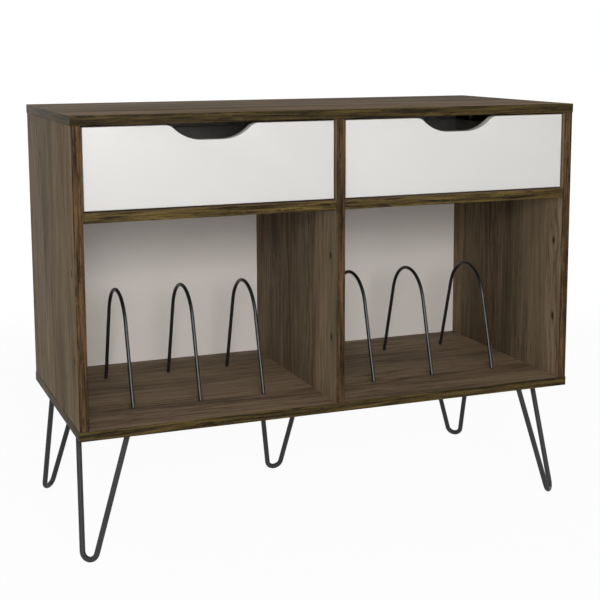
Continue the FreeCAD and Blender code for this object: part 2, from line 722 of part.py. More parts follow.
# Holes of a plate: distance out from the rods' tops, and along the plate.
PLATE_HOLES = (
    (f"({PLATE_CORNER} - sheet.plate_hole_inset)", "0"),
    ("sheet.plate_hole_lead", "(sheet.plate_hole_spread / 2)"),
    ("sheet.plate_hole_lead", "(-sheet.plate_hole_spread / 2)"),
    ("(-sheet.plate_hole_rear)", "0"),
)
leg_screw_places = []
for x, y, splay in LEGS.values():
    splay.normalize()
    for out, along in PLATE_HOLES:
        across = f"{x} + ({splay.x}) * {out} - ({splay.y}) * {along}"
        back = f"{y} + ({splay.y}) * {out} + ({splay.x}) * {along}"
        leg_screw_places.append((across, back, "-sheet.plate", DOWN))
leg_screw_holes = copies("leg_screw_holes", LEG_SCREW_HOLE, leg_screw_places)
for name, (x, y, splay) in LEGS.items():
    drilled(name, copy_of(LEG, x, y, "0", UP, splay), [leg_screw_holes])
group("leg_screws", copies("screws_of_legs", LEG_SCREW, leg_screw_places))


# Record dividers: bent wires with two feet in bores of the bottom board.
def wire_divider():
    """Bend a wire: round top, leaning shanks and upright feet."""
    body = new_body("wire_divider")
    path = sketch_on(body, "YZ_Plane")
    top = "(sheet.wire_rise - sheet.wire_diameter / 2)"
    half = "(sheet.wire_spread / 2)"
    bend_centre = f"({top} - sheet.wire_bend)"
    kink_centre = f"({half} - sheet.wire_kink)"
    hub = FreeCAD.Vector(0, value(bend_centre), 0)
    heel = FreeCAD.Vector(value(kink_centre), 0, 0)
    bend = value("sheet.wire_bend")
    kink = value("sheet.wire_kink")
    drop = heel - hub
    turn = math.acos((bend - kink) / drop.Length) + math.atan2(drop.y, drop.x)
    outwards = FreeCAD.Vector(math.cos(turn), math.sin(turn), 0)
    circle = Part.Circle(hub, UP, bend)
    crown = path.addGeometry(Part.ArcOfCircle(circle, turn, math.pi / 2))
    line = Part.LineSegment(hub + outwards * bend, heel + outwards * kink)
    shank = path.addGeometry(line)
    circle = Part.Circle(heel, UP, kink)
    ankle = path.addGeometry(Part.ArcOfCircle(circle, 0, turn))
    toe = FreeCAD.Vector(value(half), -value("sheet.wire_seat"), 0)
    line = Part.LineSegment(FreeCAD.Vector(value(half), 0, 0), toe)
    foot = path.addGeometry(line)
    for first, end, second, start in (
        (crown, START, shank, START),
        (shank, END, ankle, END),
        (ankle, START, foot, START),
    ):
        joint = Sketcher.Constraint("Tangent", first, end, second, start)
        path.addConstraint(joint)
    pin(path, crown, CENTRE, "0", bend_centre)
    pin(path, crown, END, "0", top)
    pin(path, ankle, CENTRE, kink_centre, "0")
    pin(path, foot, END, half, "(-sheet.wire_seat)")
    measure(path, "Radius", "sheet.wire_kink", ankle)
    sweep_round(body, path, "sheet.wire_diameter", top)
    return body


WIRE = wire_divider()
WIRE_BORE = rod_piece("wire_bore", "sheet.wire_diameter", "-sheet.wire_seat", CLEAR, PLAY)
WIRE_MIDDLE = "(sheet.depth / 2 + sheet.wire_back)"
WIRES = (
    f"(-{SIDE_FACE} + sheet.wire_outer_left)",
    f"(-{BAY_MIDDLE} + sheet.wire_middle_left)",
    "(-sheet.board / 2 - sheet.wire_inner_left)",
    "(sheet.board / 2 + sheet.wire_inner_right)",
    f"({BAY_MIDDLE} + sheet.wire_middle_right)",
    f"({SIDE_FACE} - sheet.wire_outer_right)",
)
bore_places = []
for number, x in enumerate(WIRES, start=1):
    keep(f"record_divider_{number}", copy_of(WIRE, x, WIRE_MIDDLE, "sheet.board"))
    for sign in ("-", "+"):
        y = f"({WIRE_MIDDLE} {sign} sheet.wire_spread / 2)"
        bore_places.append((x, y, "sheet.board"))
wire_bores = copies("wire_bores", WIRE_BORE, bore_places)


# Runners. Each is drawn with its origin at the face of an upright, at its
# own front end and foot, for the left-hand side of a drawer.
RUNNER_LENGTH = f"({RUNNER_REAR} - {RUNNER_FRONT})"
REAR_AXLE_INSET = f"({RUNNER_LENGTH} - sheet.roller_inset)"
TRACK_INSIDE = f"({TRACK_WIDTH} - sheet.gauge)"
FIRST_GAP = f"({ROLLER_IN} - sheet.running_gap)"
LAST_GAP = f"({ROLLER_OUT} + sheet.running_gap)"

# With the drawer pulled out, its rear roller meets the lug this far back.
STOPPED_AXLE = "(sheet.roller_inset + sheet.axle_reserve)"
STOP_DROP = "(sheet.roller_diameter / 2 + sheet.running_gap - sheet.stop_height)"
STOP_REACH = f"sqrt((sheet.roller_diameter / 2) ^ 2 - {STOP_DROP} ^ 2)"
STOP_REAR = f"({STOPPED_AXLE} - {STOP_REACH} - sheet.running_gap)"


def axle(body, back, steps):
    """Add a roller's pin to a runner, in steps of (from, to, diameter)."""
    for near, far, diameter in steps:
        sketch = sketch_on(body, "YZ_Plane", near)
        spot = FreeCAD.Vector(value(back), value(AXLE_RISE), 0)
        ring = sketch.addGeometry(Part.Circle(spot, UP, value(diameter) / 2))
        pin(sketch, ring, CENTRE, back, AXLE_RISE)
        measure(sketch, "Diameter", diameter, ring)
        pad(body, sketch, f"{far} - {near}")


def cabinet_runner():
    """Make the fixed runner: a C-shaped track with a roller's pin in front."""
    body = new_body("cabinet_runner")
    profile = sketch_on(body, "XZ_Plane")
    corners = [
        ("0", "0"),
        (TRACK_WIDTH, "0"),
        (TRACK_WIDTH, "sheet.track_lip"),
        (TRACK_INSIDE, "sheet.track_lip"),
        (TRACK_INSIDE, "sheet.gauge"),
        ("sheet.gauge", "sheet.gauge"),
        ("sheet.gauge", KEEPER_UNDER),
        (TRACK_INSIDE, KEEPER_UNDER),
        (TRACK_INSIDE, KEEPER_TOP),
        ("0", KEEPER_TOP),
    ]
    outline(profile, corners)
    pad(body, profile, RUNNER_LENGTH)
    mouth = sketch_on(body, "XY_Plane", RAIL_TOP)
    side = f"({TRACK_INSIDE} + sheet.overcut)"
    rectangle(mouth, "sheet.gauge", side, "(-sheet.overcut)", "sheet.keeper_start")
    pocket(body, mouth, f"{KEEPER_TOP} - {RAIL_TOP} + sheet.overcut", 1)
    lug = sketch_on(body, "XZ_Plane", f"({STOP_REAR} - sheet.stop_length)")
    lug_top = "(sheet.gauge + sheet.stop_height)"
    rectangle(lug, "(sheet.gauge / 2)", ROLLER_OUT, "(sheet.gauge / 2)", lug_top)
    pad(body, lug, "sheet.stop_length")
    steps = [
        ("(sheet.gauge / 2)", FIRST_GAP, "sheet.rivet_collar"),
        (FIRST_GAP, LAST_GAP, "sheet.rivet_diameter"),
        (LAST_GAP, f"({LAST_GAP} + sheet.rivet_head)", "sheet.rivet_collar"),
    ]
    axle(body, "sheet.roller_inset", steps)
    return body


def drawer_runner():
    """Make the sliding runner: it hooks over the front roller of the fixed
    one, runs on its own roller at the rear and carries the drawer's side."""
    body = new_body("drawer_runner")
    profile = sketch_on(body, "XZ_Plane")
    foot_edge = f"({RUNNER_SPACE} + sheet.rail_foot)"
    hook_edge = "(sheet.gauge + 2 * sheet.running_gap)"
    corners = [
        (RAIL_FACE, "0"),
        (foot_edge, "0"),
        (foot_edge, "sheet.gauge"),
        (RUNNER_SPACE, "sheet.gauge"),
        (RUNNER_SPACE, RAIL_TOP),
        (hook_edge, RAIL_TOP),
        (hook_edge, RAIL_UNDER),
        (RAIL_FACE, RAIL_UNDER),
    ]
    outline(profile, corners)
    pad(body, profile, RUNNER_LENGTH)
    steps = [
        (LAST_GAP, f"({RAIL_FACE} + sheet.gauge / 2)", "sheet.rivet_collar"),
        (FIRST_GAP, LAST_GAP, "sheet.rivet_diameter"),
        (f"({FIRST_GAP} - sheet.rivet_head)", FIRST_GAP, "sheet.rivet_collar"),
    ]
    axle(body, REAR_AXLE_INSET, steps)
    return body


def roller():
    bore = "((sheet.rivet_diameter + sheet.bore_play) / 2)"
    rim = "(sheet.roller_diameter / 2)"
    face = "(sheet.roller_diameter / 2 - sheet.roller_chamfer)"
    far = "sheet.roller_width"
    profile = [
        (bore, "0"),
        (face, "0"),
        (rim, "sheet.roller_chamfer"),
        (rim, f"({far} - sheet.roller_chamfer)"),
        (face, far),
        (bore, far),
    ]
    return lathe("roller", profile)


def handed(piece):
    """Return a piece for each hand: the piece itself and its mirror image."""
    twin = DOC.addObject("Part::Mirroring", f"{piece.Name}_twin")
    twin.Source = piece
    twin.Normal = RIGHT
    return {"left": piece, "right": twin}


TRACKS = handed(cabinet_runner())
RAILS = handed(drawer_runner())
ROLLER = roller()
AXLE_HEIGHT = f"({RUNNER_FOOT} + {AXLE_RISE})"
SCREW_ROWS = (
    f"({RUNNER_FRONT} + sheet.runner_screw_inset)",
    f"(({RUNNER_FRONT} + {RUNNER_REAR}) / 2)",
    f"({RUNNER_REAR} - sheet.runner_screw_inset)",
)
BAY_FACES = {
    "left": {"left": f"(-{SIDE_FACE})", "right": "(-sheet.board / 2)"},
    "right": {"left": "(sheet.board / 2)", "right": SIDE_FACE},
}
# For each hand of a drawer: the sign of X, and the ways out and in.
HANDS = {"left": ("-", LEFT, RIGHT), "right": ("+", RIGHT, LEFT)}
INWARDS = {"left": "+", "right": "-"}


def screw_row(face, reach, hand, facing):
    """Place a runner's screws at a distance from the face of an upright."""
    x = f"({face} {INWARDS[hand]} {reach})"
    return [(x, row, AXLE_HEIGHT, facing) for row in SCREW_ROWS]


def add_roller(label, face, hand, row):
    x = f"({face} {INWARDS[hand]} {ROLLER_IN})"
    inwards = HANDS[hand][2]
    keep(label, copy_of(ROLLER, x, row, AXLE_HEIGHT, inwards))


track_screw_places = []
for faces in BAY_FACES.values():
    for hand, face in faces.items():
        inwards = HANDS[hand][2]
        track_screw_places += screw_row(face, "sheet.gauge", hand, inwards)
track_screw_holes = copies("track_holes", RUNNER_SCREW_HOLE, track_screw_places)
group("runner_screws", copies("track_screws", RUNNER_SCREW, track_screw_places))
for bay, faces in BAY_FACES.items():
    for hand, face in faces.items():
        name = f"{bay}_bay_{hand}"
        track = copy_of(TRACKS[hand], face, RUNNER_FRONT, RUNNER_FOOT)
        drilled(f"{name}_runner", track, [track_screw_holes])
        add_roller(f"{name}_roller", face, hand, FRONT_AXLE)


# Boards of the cabinet.
def add_board(label, role, offset, limits, holes, thickness="sheet.board"):
    board = slab(f"{label}_blank", role, offset, thickness, limits)
    place(board)
    drilled(label, board, holes)


bolts, through_bolts, cams, dowels, long_dowels, joiners, nails = joint_holes
OUTLINE = ("(-sheet.width / 2)", "(sheet.width / 2)", "0", "sheet.depth")
UPRIGHT = ("sheet.front_recess", "sheet.depth", "sheet.board", UPRIGHT_TOP)
add_board("top_panel", "XY_Plane", UPRIGHT_TOP, OUTLINE, [bolts, dowels, nails])
add_board(
    "bottom_panel",
    "XY_Plane",
    "0",
    OUTLINE,
    [dowels, joiners, nails, leg_screw_holes, wire_bores],
)
side_holes = [bolts, cams, dowels, joiners, nails, track_screw_holes]
UPRIGHT_NAMES = {
    "left": "left_side_panel",
    "centre": "centre_divider",
    "right": "right_side_panel",
}
for upright, name in UPRIGHT_NAMES.items():
    holes = list(side_holes)
    if upright == "centre":
        holes += [through_bolts, long_dowels]
    face = f"({UPRIGHTS[upright]} - sheet.board / 2)"
    add_board(name, "YZ_Plane", face, UPRIGHT, holes)
for bay, faces in BAY_FACES.items():
    limits = (faces["left"], faces["right"], "sheet.front_recess", "sheet.depth")
    holes = [bolts, through_bolts, cams, dowels, long_dowels, nails]
    add_board(f"{bay}_shelf", "XY_Plane", SHELF_UNDER, limits, holes)
BACK_HALF = "(sheet.width / 2 - sheet.back_margin)"
back_limits = (
    f"(-{BACK_HALF})",
    BACK_HALF,
    "sheet.back_margin",
    f"({CABINET_TOP} - sheet.back_margin)",
)
add_board(
    "back_panel", "XZ_Plane", "sheet.depth", back_limits, [nails], "sheet.back_board"
)


# Drawers.
def scoop(body):
    """Cut half the finger scoop into a front, then mirror the cut."""
    sketch = sketch_on(body, "XZ_Plane", "sheet.drawer_recess", ("0", FRONT_TOP))
    flat = value("sheet.scoop_flat") / 2
    shoulder = value("sheet.scoop_width") / 2
    deep = value("sheet.scoop_depth")
    upper = value("sheet.scoop_shoulder")
    above = value("sheet.overcut")
    run = shoulder - flat
    lower = (run**2 + deep**2) / (2 * deep) - upper
    low_hub = FreeCAD.Vector(flat, lower - deep, 0)
    high_hub = FreeCAD.Vector(shoulder, -upper, 0)
    turn = math.atan2(high_hub.y - low_hub.y, high_hub.x - low_hub.x)
    spots = [
        FreeCAD.Vector(shoulder, 0, 0),
        FreeCAD.Vector(shoulder, above, 0),
        FreeCAD.Vector(0, above, 0),
        FreeCAD.Vector(0, -deep, 0),
        FreeCAD.Vector(flat, -deep, 0),
    ]
    lines = [
        sketch.addGeometry(Part.LineSegment(start, end))
        for start, end in zip(spots, spots[1:])
    ]
    low_circle = Part.Circle(low_hub, UP, lower)
    low_arc = sketch.addGeometry(Part.ArcOfCircle(low_circle, -math.pi / 2, turn))
    high_circle = Part.Circle(high_hub, UP, upper)
    high_arc = sketch.addGeometry(
        Part.ArcOfCircle(high_circle, math.pi / 2, math.pi + turn)
    )
    joints = [
        ("Coincident", first, END, second, START)
        for first, second in zip(lines, lines[1:])
    ]
    joints.append(("Tangent", lines[-1], END, low_arc, START))
    joints.append(("Tangent", low_arc, END, high_arc, END))
    joints.append(("Coincident", high_arc, START, lines[0], START))
    for joint in joints:
        sketch.addConstraint(Sketcher.Constraint(*joint))
    half_width = "(sheet.scoop_width / 2)"
    half_flat = "(sheet.scoop_flat / 2)"
    pin(sketch, lines[0], START, half_width, "0")
    pin(sketch, lines[1], START, half_width, "sheet.overcut")
    pin(sketch, lines[2], START, "0", "sheet.overcut")
    pin(sketch, lines[3], START, "0", "(-sheet.scoop_depth)")
    pin(sketch, lines[3], END, half_flat, "(-sheet.scoop_depth)")
    pin(sketch, high_arc, CENTRE, half_width, "(-sheet.scoop_shoulder)")
    cut = pocket(body, sketch, "sheet.board", 1)
    mirror_feature(body, cut, "YZ_Plane")


def drawer_front(name):
    half = f"({BAY_WIDTH} / 2 - sheet.drawer_gap)"
    limits = (f"(-{half})", half, FRONT_FOOT, FRONT_TOP)
    body = slab(name, "XZ_Plane", "sheet.drawer_recess", "sheet.board", limits)
    scoop(body)
    groove = sketch_on(body, "XZ_Plane", FRONT_BACK)
    reach = f"({BOX_INNER_HALF} + sheet.groove_depth)"
    rectangle(groove, f"(-{reach})", reach, BOX_FLOOR, GROOVE_TOP)
    pocket(body, groove, "sheet.groove_depth", -1)
    return body


def drawer_side(name, hand):
    limits = (FRONT_BACK, BOX_REAR, BOX_FOOT, BOX_TOP)
    outer = f"(-{BOX_HALF})" if hand == "left" else BOX_INNER_HALF
    inner = f"(-{BOX_INNER_HALF})" if hand == "left" else BOX_INNER_HALF
    body = slab(name, "YZ_Plane", outer, "sheet.drawer_side", limits)
    groove = sketch_on(body, "YZ_Plane", inner)
    start = f"({FRONT_BACK} - sheet.overcut)"
    end = f"({BOX_REAR} + sheet.overcut)"
    rectangle(groove, start, end, BOX_FLOOR, GROOVE_TOP)
    pocket(body, groove, "sheet.groove_depth", -1 if hand == "left" else 1)
    return body


def drawer_bottom(name):
    half = f"({BOX_INNER_HALF} + sheet.groove_depth - sheet.groove_play)"
    start = f"({FRONT_BACK} - sheet.groove_depth + sheet.groove_play)"
    limits = (f"(-{half})", half, start, BOX_REAR)
    return slab(name, "XY_Plane", BOX_FLOOR, "sheet.drawer_bottom", limits)


def drawer_back(name):
    foot = f"({BOX_FLOOR} + sheet.drawer_bottom)"
    limits = (f"(-{BOX_INNER_HALF})", BOX_INNER_HALF, foot, BOX_TOP)
    start = f"({BOX_REAR} - sheet.drawer_side)"
    return slab(name, "XZ_Plane", start, "sheet.drawer_side", limits)


FIXING_HEIGHTS = (
    f"({BOX_FOOT} + sheet.fixing_foot)",
    f"({BOX_TOP} - sheet.fixing_top)",
)
BACK_CORE = f"({BOX_REAR} - sheet.drawer_side / 2)"
FLOOR_SCREWS = ("(-sheet.floor_screw_spread / 2)", "0", "(sheet.floor_screw_spread / 2)")


def add_drawer(bay):
    name = f"{bay}_drawer"
    middle = BAYS[bay]
    bolt_spots = []
    cam_spots = []
    side_spots = []
    rail_spots = []
    for hand, (sign, outwards, inwards) in HANDS.items():
        core = f"({middle} {sign} ({BOX_HALF} - sheet.drawer_side / 2))"
        inner = f"({middle} {sign} {BOX_INNER_HALF})"
        outer = f"({middle} {sign} {BOX_HALF})"
        cam_row = f"({FRONT_BACK} + sheet.cam_throw)"
        for height in FIXING_HEIGHTS:
            bolt_spots.append((core, FRONT_BACK, height, BACK))
            cam_spots.append((inner, cam_row, height, inwards, FORWARD))
            side_spots.append((outer, BACK_CORE, height, outwards))
        face = BAY_FACES[bay][hand]
        rail_spots += screw_row(face, RAIL_FACE, hand, outwards)
    floor_spots = [
        (f"({middle} + {across})", BACK_CORE, BOX_FLOOR, DOWN)
        for across in FLOOR_SCREWS
    ]
    bolt_holes = copies(f"{name}_bolt_holes", BOLT_HOLE, bolt_spots)
    cam_holes = copies(f"{name}_cam_holes", SMALL_CAM_HOLE, cam_spots)
    side_holes = copies(f"{name}_side_holes", BOX_SCREW_HOLE, side_spots)
    floor_holes = copies(f"{name}_floor_holes", BOX_SCREW_HOLE, floor_spots)
    rail_holes = copies(f"{name}_rail_holes", RUNNER_SCREW_HOLE, rail_spots)

    front = drawer_front(f"{name}_front_blank")
    place(front, middle)
    drilled(f"{name}_front", front, [bolt_holes])
    bottom = drawer_bottom(f"{name}_bottom_blank")
    place(bottom, middle)
    drilled(f"{name}_bottom", bottom, [floor_holes])
    back = drawer_back(f"{name}_back_blank")
    place(back, middle)
    drilled(f"{name}_back", back, [side_holes, floor_holes])
    for hand, face in BAY_FACES[bay].items():
        side = drawer_side(f"{name}_{hand}_side_blank", hand)
        place(side, middle)
        holes = [bolt_holes, cam_holes, side_holes, rail_holes]
        drilled(f"{name}_{hand}_side", side, holes)
        rail = copy_of(RAILS[hand], face, RUNNER_FRONT, RUNNER_FOOT)
        drilled(f"{name}_{hand}_runner", rail, [rail_holes])
        add_roller(f"{name}_{hand}_roller", face, hand, REAR_AXLE)

    group(f"{name}_cam_locks", copies(f"{name}_cams", SMALL_CAM, cam_spots))
    group(f"{name}_cam_bolts", copies(f"{name}_bolts", BOLT, bolt_spots))
    group(
        f"{name}_screws",
        copies(f"{name}_box_screws", BOX_SCREW, side_spots + floor_spots),
        copies(f"{name}_rail_screws", RUNNER_SCREW, rail_spots),
    )


for bay in BAYS:
    add_drawer(bay)

DOC.recompute()
for item in DOC.Objects:
    if "Invalid" in item.State or "Error" in item.State:
        raise RuntimeError(f"{item.Label} failed: {item.State}")
shapes = {name: Part.getShape(item) for name, item in nodes.items()}
for name, shape in shapes.items():
    if shape.isNull() or not shape.isValid() or not shape.Solids:
        raise RuntimeError(f"{name} has no valid solid")
os.makedirs("parts", exist_ok=True)
for name, shape in shapes.items():
    shape.exportStep(f"parts/{name}.step")
print(f"{len(shapes)} nodes")
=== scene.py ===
"""Turntable stand: the finish of its boards, drawers, wires and legs.

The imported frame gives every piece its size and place. Lengths are in metres.
"""

import math
import random

import bmesh
import bpy
from bpy.props import FloatProperty, FloatVectorProperty, PointerProperty
from mathutils import Matrix, Vector


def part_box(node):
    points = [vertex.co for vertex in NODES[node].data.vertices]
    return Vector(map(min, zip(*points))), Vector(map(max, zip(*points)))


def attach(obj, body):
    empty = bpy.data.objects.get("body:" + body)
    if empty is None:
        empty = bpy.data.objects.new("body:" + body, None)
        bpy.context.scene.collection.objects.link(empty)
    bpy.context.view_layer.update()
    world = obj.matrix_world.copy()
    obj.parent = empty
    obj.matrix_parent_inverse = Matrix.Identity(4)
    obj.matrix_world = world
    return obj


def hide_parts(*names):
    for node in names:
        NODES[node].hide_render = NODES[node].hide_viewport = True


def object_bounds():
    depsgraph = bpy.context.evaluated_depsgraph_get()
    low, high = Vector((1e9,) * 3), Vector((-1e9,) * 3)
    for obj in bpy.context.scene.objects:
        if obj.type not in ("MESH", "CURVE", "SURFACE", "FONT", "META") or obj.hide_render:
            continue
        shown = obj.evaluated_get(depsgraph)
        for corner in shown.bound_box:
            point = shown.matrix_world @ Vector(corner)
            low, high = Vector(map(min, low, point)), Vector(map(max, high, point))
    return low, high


bl_info = {
    "name": "Turntable stand",
    "version": (1, 0, 0),
    "blender": (4, 5, 0),
    "location": "3D View > Sidebar > Stand",
    "description": "Finishes a walnut-print turntable stand on bent-rod legs",
    "category": "Object",
}

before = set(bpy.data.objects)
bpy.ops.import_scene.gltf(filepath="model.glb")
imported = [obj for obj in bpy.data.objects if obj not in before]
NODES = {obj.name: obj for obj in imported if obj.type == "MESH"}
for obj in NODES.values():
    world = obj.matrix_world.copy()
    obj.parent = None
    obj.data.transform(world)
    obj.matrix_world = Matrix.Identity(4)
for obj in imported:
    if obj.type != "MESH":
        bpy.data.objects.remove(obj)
cad_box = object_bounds()

MM = 0.001
X, Y, Z = 0, 1, 2
# Points this near a plane lie in it, and points this near each other are one.
NEAR = 0.02 * MM
MERGE = 0.005 * MM
# Faces that meet at less than the first angle are one flat face, and at less
# than the second one curved face.
FLAT = math.radians(0.5)
SHARP = math.radians(32)
# A face whose normal has this much of a direction looks that way.
FACING = 0.99
# How many steps a fine rounding has, and a rounding that shows.
FINE_STEPS = 2
SOFT_STEPS = 4
BAY_SIDES = ("left", "right")
# The print's planks: where each starts across the board, and its tone.
PLANKS = ((-0.208, 0.85), (-0.100, 0.55), (-0.034, 0.05), (0.0, 0.30), (0.125, 0.52))
BOTTOM_PLANKS = ((-0.208, 0.85), (-0.100, 1.10), (0.0, 0.45), (0.125, 0.75))
# The print's knots: their places along the grain and across it.
LEVEL_KNOTS = ((-0.372, -0.150), (-0.118, 0.066), (0.215, -0.162), (0.341, 0.120))
UPRIGHT_KNOTS = ((0.485, -0.181), (0.342, -0.184), (0.655, 0.081))
# Prints: the way of the grain, the way across it, the planks and the knots.
LEVEL = (X, Y, PLANKS, LEVEL_KNOTS)
BOTTOM = (X, Y, BOTTOM_PLANKS, ())
UPRIGHT = (Z, Y, PLANKS, UPRIGHT_KNOTS)
# A knot's radius across the grain, the reach of the swirl round it, how much it
# pushes the grain aside there, and its width as a share of its length.
KNOT = 5 * MM
KNOT_SWIRL = 30 * MM
KNOT_PUSH = 0.75
KNOT_WIDTH = 0.55
# How much lighter than its brown a band's lightest streaks are.
BAND_PALER = 2.6


def colour(name, note, default):
    """Make a setting that holds a colour."""
    return FloatVectorProperty(
        name=name,
        description=note,
        default=default,
        subtype="COLOR",
        size=3,
        min=0,
        max=1,
    )


def length(name, note, default):
    """Make a setting that holds a length in metres."""
    return FloatProperty(
        name=name,
        description=note,
        default=default,
        unit="LENGTH",
        min=0,
    )


def angle(name, note, degrees):
    """Make a setting that holds an angle."""
    return FloatProperty(
        name=name,
        description=note,
        default=math.radians(degrees),
        unit="ROTATION",
    )


class StandWood(bpy.types.PropertyGroup):
    """Colours and measures of the walnut print."""

    deep: colour("Deep brown", "Darkest streaks of the print", (0.078, 0.050, 0.029))
    brown: colour("Brown", "Most of the print", (0.205, 0.140, 0.085))
    pale: colour("Pale brown", "Lightest streaks of the print", (0.335, 0.240, 0.152))
    olive: colour("Olive", "Cooler planks of the print", (0.178, 0.146, 0.090))
    knot: colour("Knot", "Knots of the print", (0.030, 0.018, 0.011))
    band_deep: colour("Deep band", "Marks of the edge bands", (0.009, 0.005, 0.002))
    band_brown: colour("Band", "Bands along the length", (0.053, 0.036, 0.011))
    band_red: colour("Upright band", "Bands of the uprights", (0.066, 0.037, 0.016))
    band: length("Band thickness", "Thickness of the edge bands", 1.0 * MM)
    band_round: length("Band rounding", "Rounding of the edge bands", 0.7 * MM)
    board_round: length("Board rounding", "Rounding of the boards", 0.3 * MM)


class StandDrawers(bpy.types.PropertyGroup):
    """Colours and measures of the drawers and the back."""

    white: colour("White", "Sprayed drawer fronts", (0.76, 0.745, 0.725))
    front_round: length("Front rounding", "Rounding of the drawer fronts", 1.2 * MM)
    box_round: length("Box rounding", "Rounding of the drawer boxes", 0.4 * MM)
    back_round: length("Back rounding", "Rounding of the hardboard", 0.3 * MM)
    hardboard: colour("Hardboard", "White face of the back", (0.84, 0.79, 0.745))
    raw_hardboard: colour("Raw hardboard", "Rear face of the back", (0.22, 0.13, 0.07))
    foil: colour("Foil", "Foil of the drawer boxes", (0.55, 0.54, 0.51))


class StandMetal(bpy.types.PropertyGroup):
    """Colours of the wires, the legs and the fittings."""

    wire: colour("Wire", "Record dividers", (0.012, 0.012, 0.012))
    rod: colour("Rod", "Legs", (0.045, 0.047, 0.045))
    enamel: colour("Enamel", "Drawer runners", (0.62, 0.61, 0.58))
    zinc: colour("Zinc", "Screws and fittings", (0.50, 0.50, 0.52))
    nylon: colour("Nylon", "Rollers", (0.75, 0.74, 0.70))
    beech: colour("Beech", "Dowels", (0.55, 0.38, 0.22))
    bead: length("Bead", "Half the thickness of the weld beads", 1.7 * MM)


class StandStudio(bpy.types.PropertyGroup):
    """The camera and the light."""

    camera: FloatVectorProperty(
        name="Camera",
        description="Place of the camera",
        default=(-0.82897, -2.13296, 0.84695),
        subtype="TRANSLATION",
        unit="LENGTH",
    )
    yaw: angle("Yaw", "Camera's turn to the right", 21.384)
    pitch: angle("Pitch", "Camera's tilt upwards", -8.421)
    roll: angle("Roll", "Camera's lean", 0.2186)
    lens: FloatProperty(
        name="Lens",
        description="Focal length on a sensor 36 mm wide",
        default=74.716,
        unit="CAMERA",
    )
    rise: FloatProperty(
        name="Rise",
        description="Vertical shift of the lens",
        default=-0.12,
    )
    sky: FloatProperty(name="Sky", description="Light from all round", default=0.12)
    lamps: FloatProperty(name="Lamps", description="Strength of all lamps", default=1)


GROUPS = {
    "stand_wood": StandWood,
    "stand_drawers": StandDrawers,
    "stand_metal": StandMetal,
    "stand_studio": StandStudio,
}


# Selecting and shaping.
def deselect():
    """Leave edit mode, and select nothing."""
    if bpy.context.object and bpy.context.object.mode != "OBJECT":
        bpy.ops.object.mode_set(mode="OBJECT")
    bpy.ops.object.select_all(action="DESELECT")


def take(piece):
    """Make a piece the only selected one, and the active one."""
    deselect()
    piece.select_set(True)
    bpy.context.view_layer.objects.active = piece


def just_added(name):
    """Name the object that was just added, and return it."""
    added = bpy.context.object
    added.name = name
    return added


def edit(piece):
    """Open a piece in edit mode, with nothing selected."""
    take(piece)
    bpy.ops.object.mode_set(mode="EDIT")
    bpy.ops.mesh.select_all(action="DESELECT")


def pick(piece, kind, test):
    """Select, in edit mode, the faces or edges that pass a test."""
    bpy.ops.mesh.select_mode(type=kind)
    bpy.ops.mesh.select_all(action="DESELECT")
    mesh = bmesh.from_edit_mesh(piece.data)
    parts = mesh.faces if kind == "FACE" else mesh.edges
    for part in parts:
        if test(part):
            part.select_set(True)
    bmesh.update_edit_mesh(piece.data)


def limits_of(places):
    """Return the lowest and highest corner of the box round some places."""
    low = Vector([min(place[axis] for place in places) for axis in (X, Y, Z)])
    high = Vector([max(place[axis] for place in places) for axis in (X, Y, Z)])
    return low, high


def corners(piece):
    """Return the lowest and highest corner of a piece in edit mode."""
    return limits_of([v.co for v in bmesh.from_edit_mesh(piece.data).verts])


def sides_met(part, limits):
    """Count the sides of a box that an edge or face lies in."""
    return sum(
        all(abs(vertex.co[axis] - limit[axis]) < NEAR for vertex in part.verts)
        for axis in (X, Y, Z)
        for limit in limits
    )


def join_all(pieces):
    """Join some pieces into the first one, and return it."""
    deselect()
    for piece in pieces:
        piece.select_set(True)
    bpy.context.view_layer.objects.active = pieces[0]
    if len(pieces) > 1:
        bpy.ops.object.join()
    return pieces[0]


def round_outline(piece, radius):
    """Round the edges where the sides of a piece's box meet."""
    limits = corners(piece)
    pick(piece, "EDGE", lambda edge: sides_met(edge, limits) > 1)
    bpy.ops.mesh.bevel(offset=radius, segments=FINE_STEPS, affect="EDGES")


def set_down():
    """Move the active object's place, turn and scale into its mesh."""
    bpy.ops.object.transform_apply(location=True, rotation=True, scale=True)


def smooth(piece):
    """Shade a piece smooth, apart from its sharp edges."""
    take(piece)
    bpy.ops.object.shade_smooth_by_angle(angle=SHARP)


def solid_copy(node, name):
    """Copy a solid of the frame: doubles merged and flat faces joined up."""
    piece = bpy.data.objects.new(name, NODES[node].data.copy())
    bpy.context.scene.collection.objects.link(piece)
    edit(piece)
    bpy.ops.mesh.customdata_custom_splitnormals_clear()
    bpy.ops.mesh.select_all(action="SELECT")
    bpy.ops.mesh.remove_doubles(threshold=MERGE)
    bpy.ops.mesh.dissolve_limited(angle_limit=FLAT)
    return piece


def block(name, low, high):
    """Add a block between two corners, with its place in its mesh."""
    deselect()
    bpy.ops.mesh.primitive_cube_add(size=1, location=(low + high) / 2)
    piece = just_added(name)
    piece.scale = high - low
    set_down()
    return piece


def finish_piece(piece, body, slot, *materials):
    """Give a piece its materials and its body; its slot is not used."""
    piece.data.materials.clear()
    for material in materials:
        piece.data.materials.append(material)
    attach(piece, body)


def nodes_ending(*endings):
    """Return the frame's nodes whose names end in one of some words."""
    return [name for name in NODES if name.endswith(endings)]


def dress(nodes, material):
    """Give solids of the frame a better material."""
    for node in nodes:
        for slot in NODES[node].material_slots:
            slot.material = material


# Materials.
def third(first, second):
    """Return the axis that two others leave."""
    return X + Y + Z - first - second


def shaded(tint, factor):
    """Make a colour lighter or darker."""
    return tuple(part * factor for part in tint)


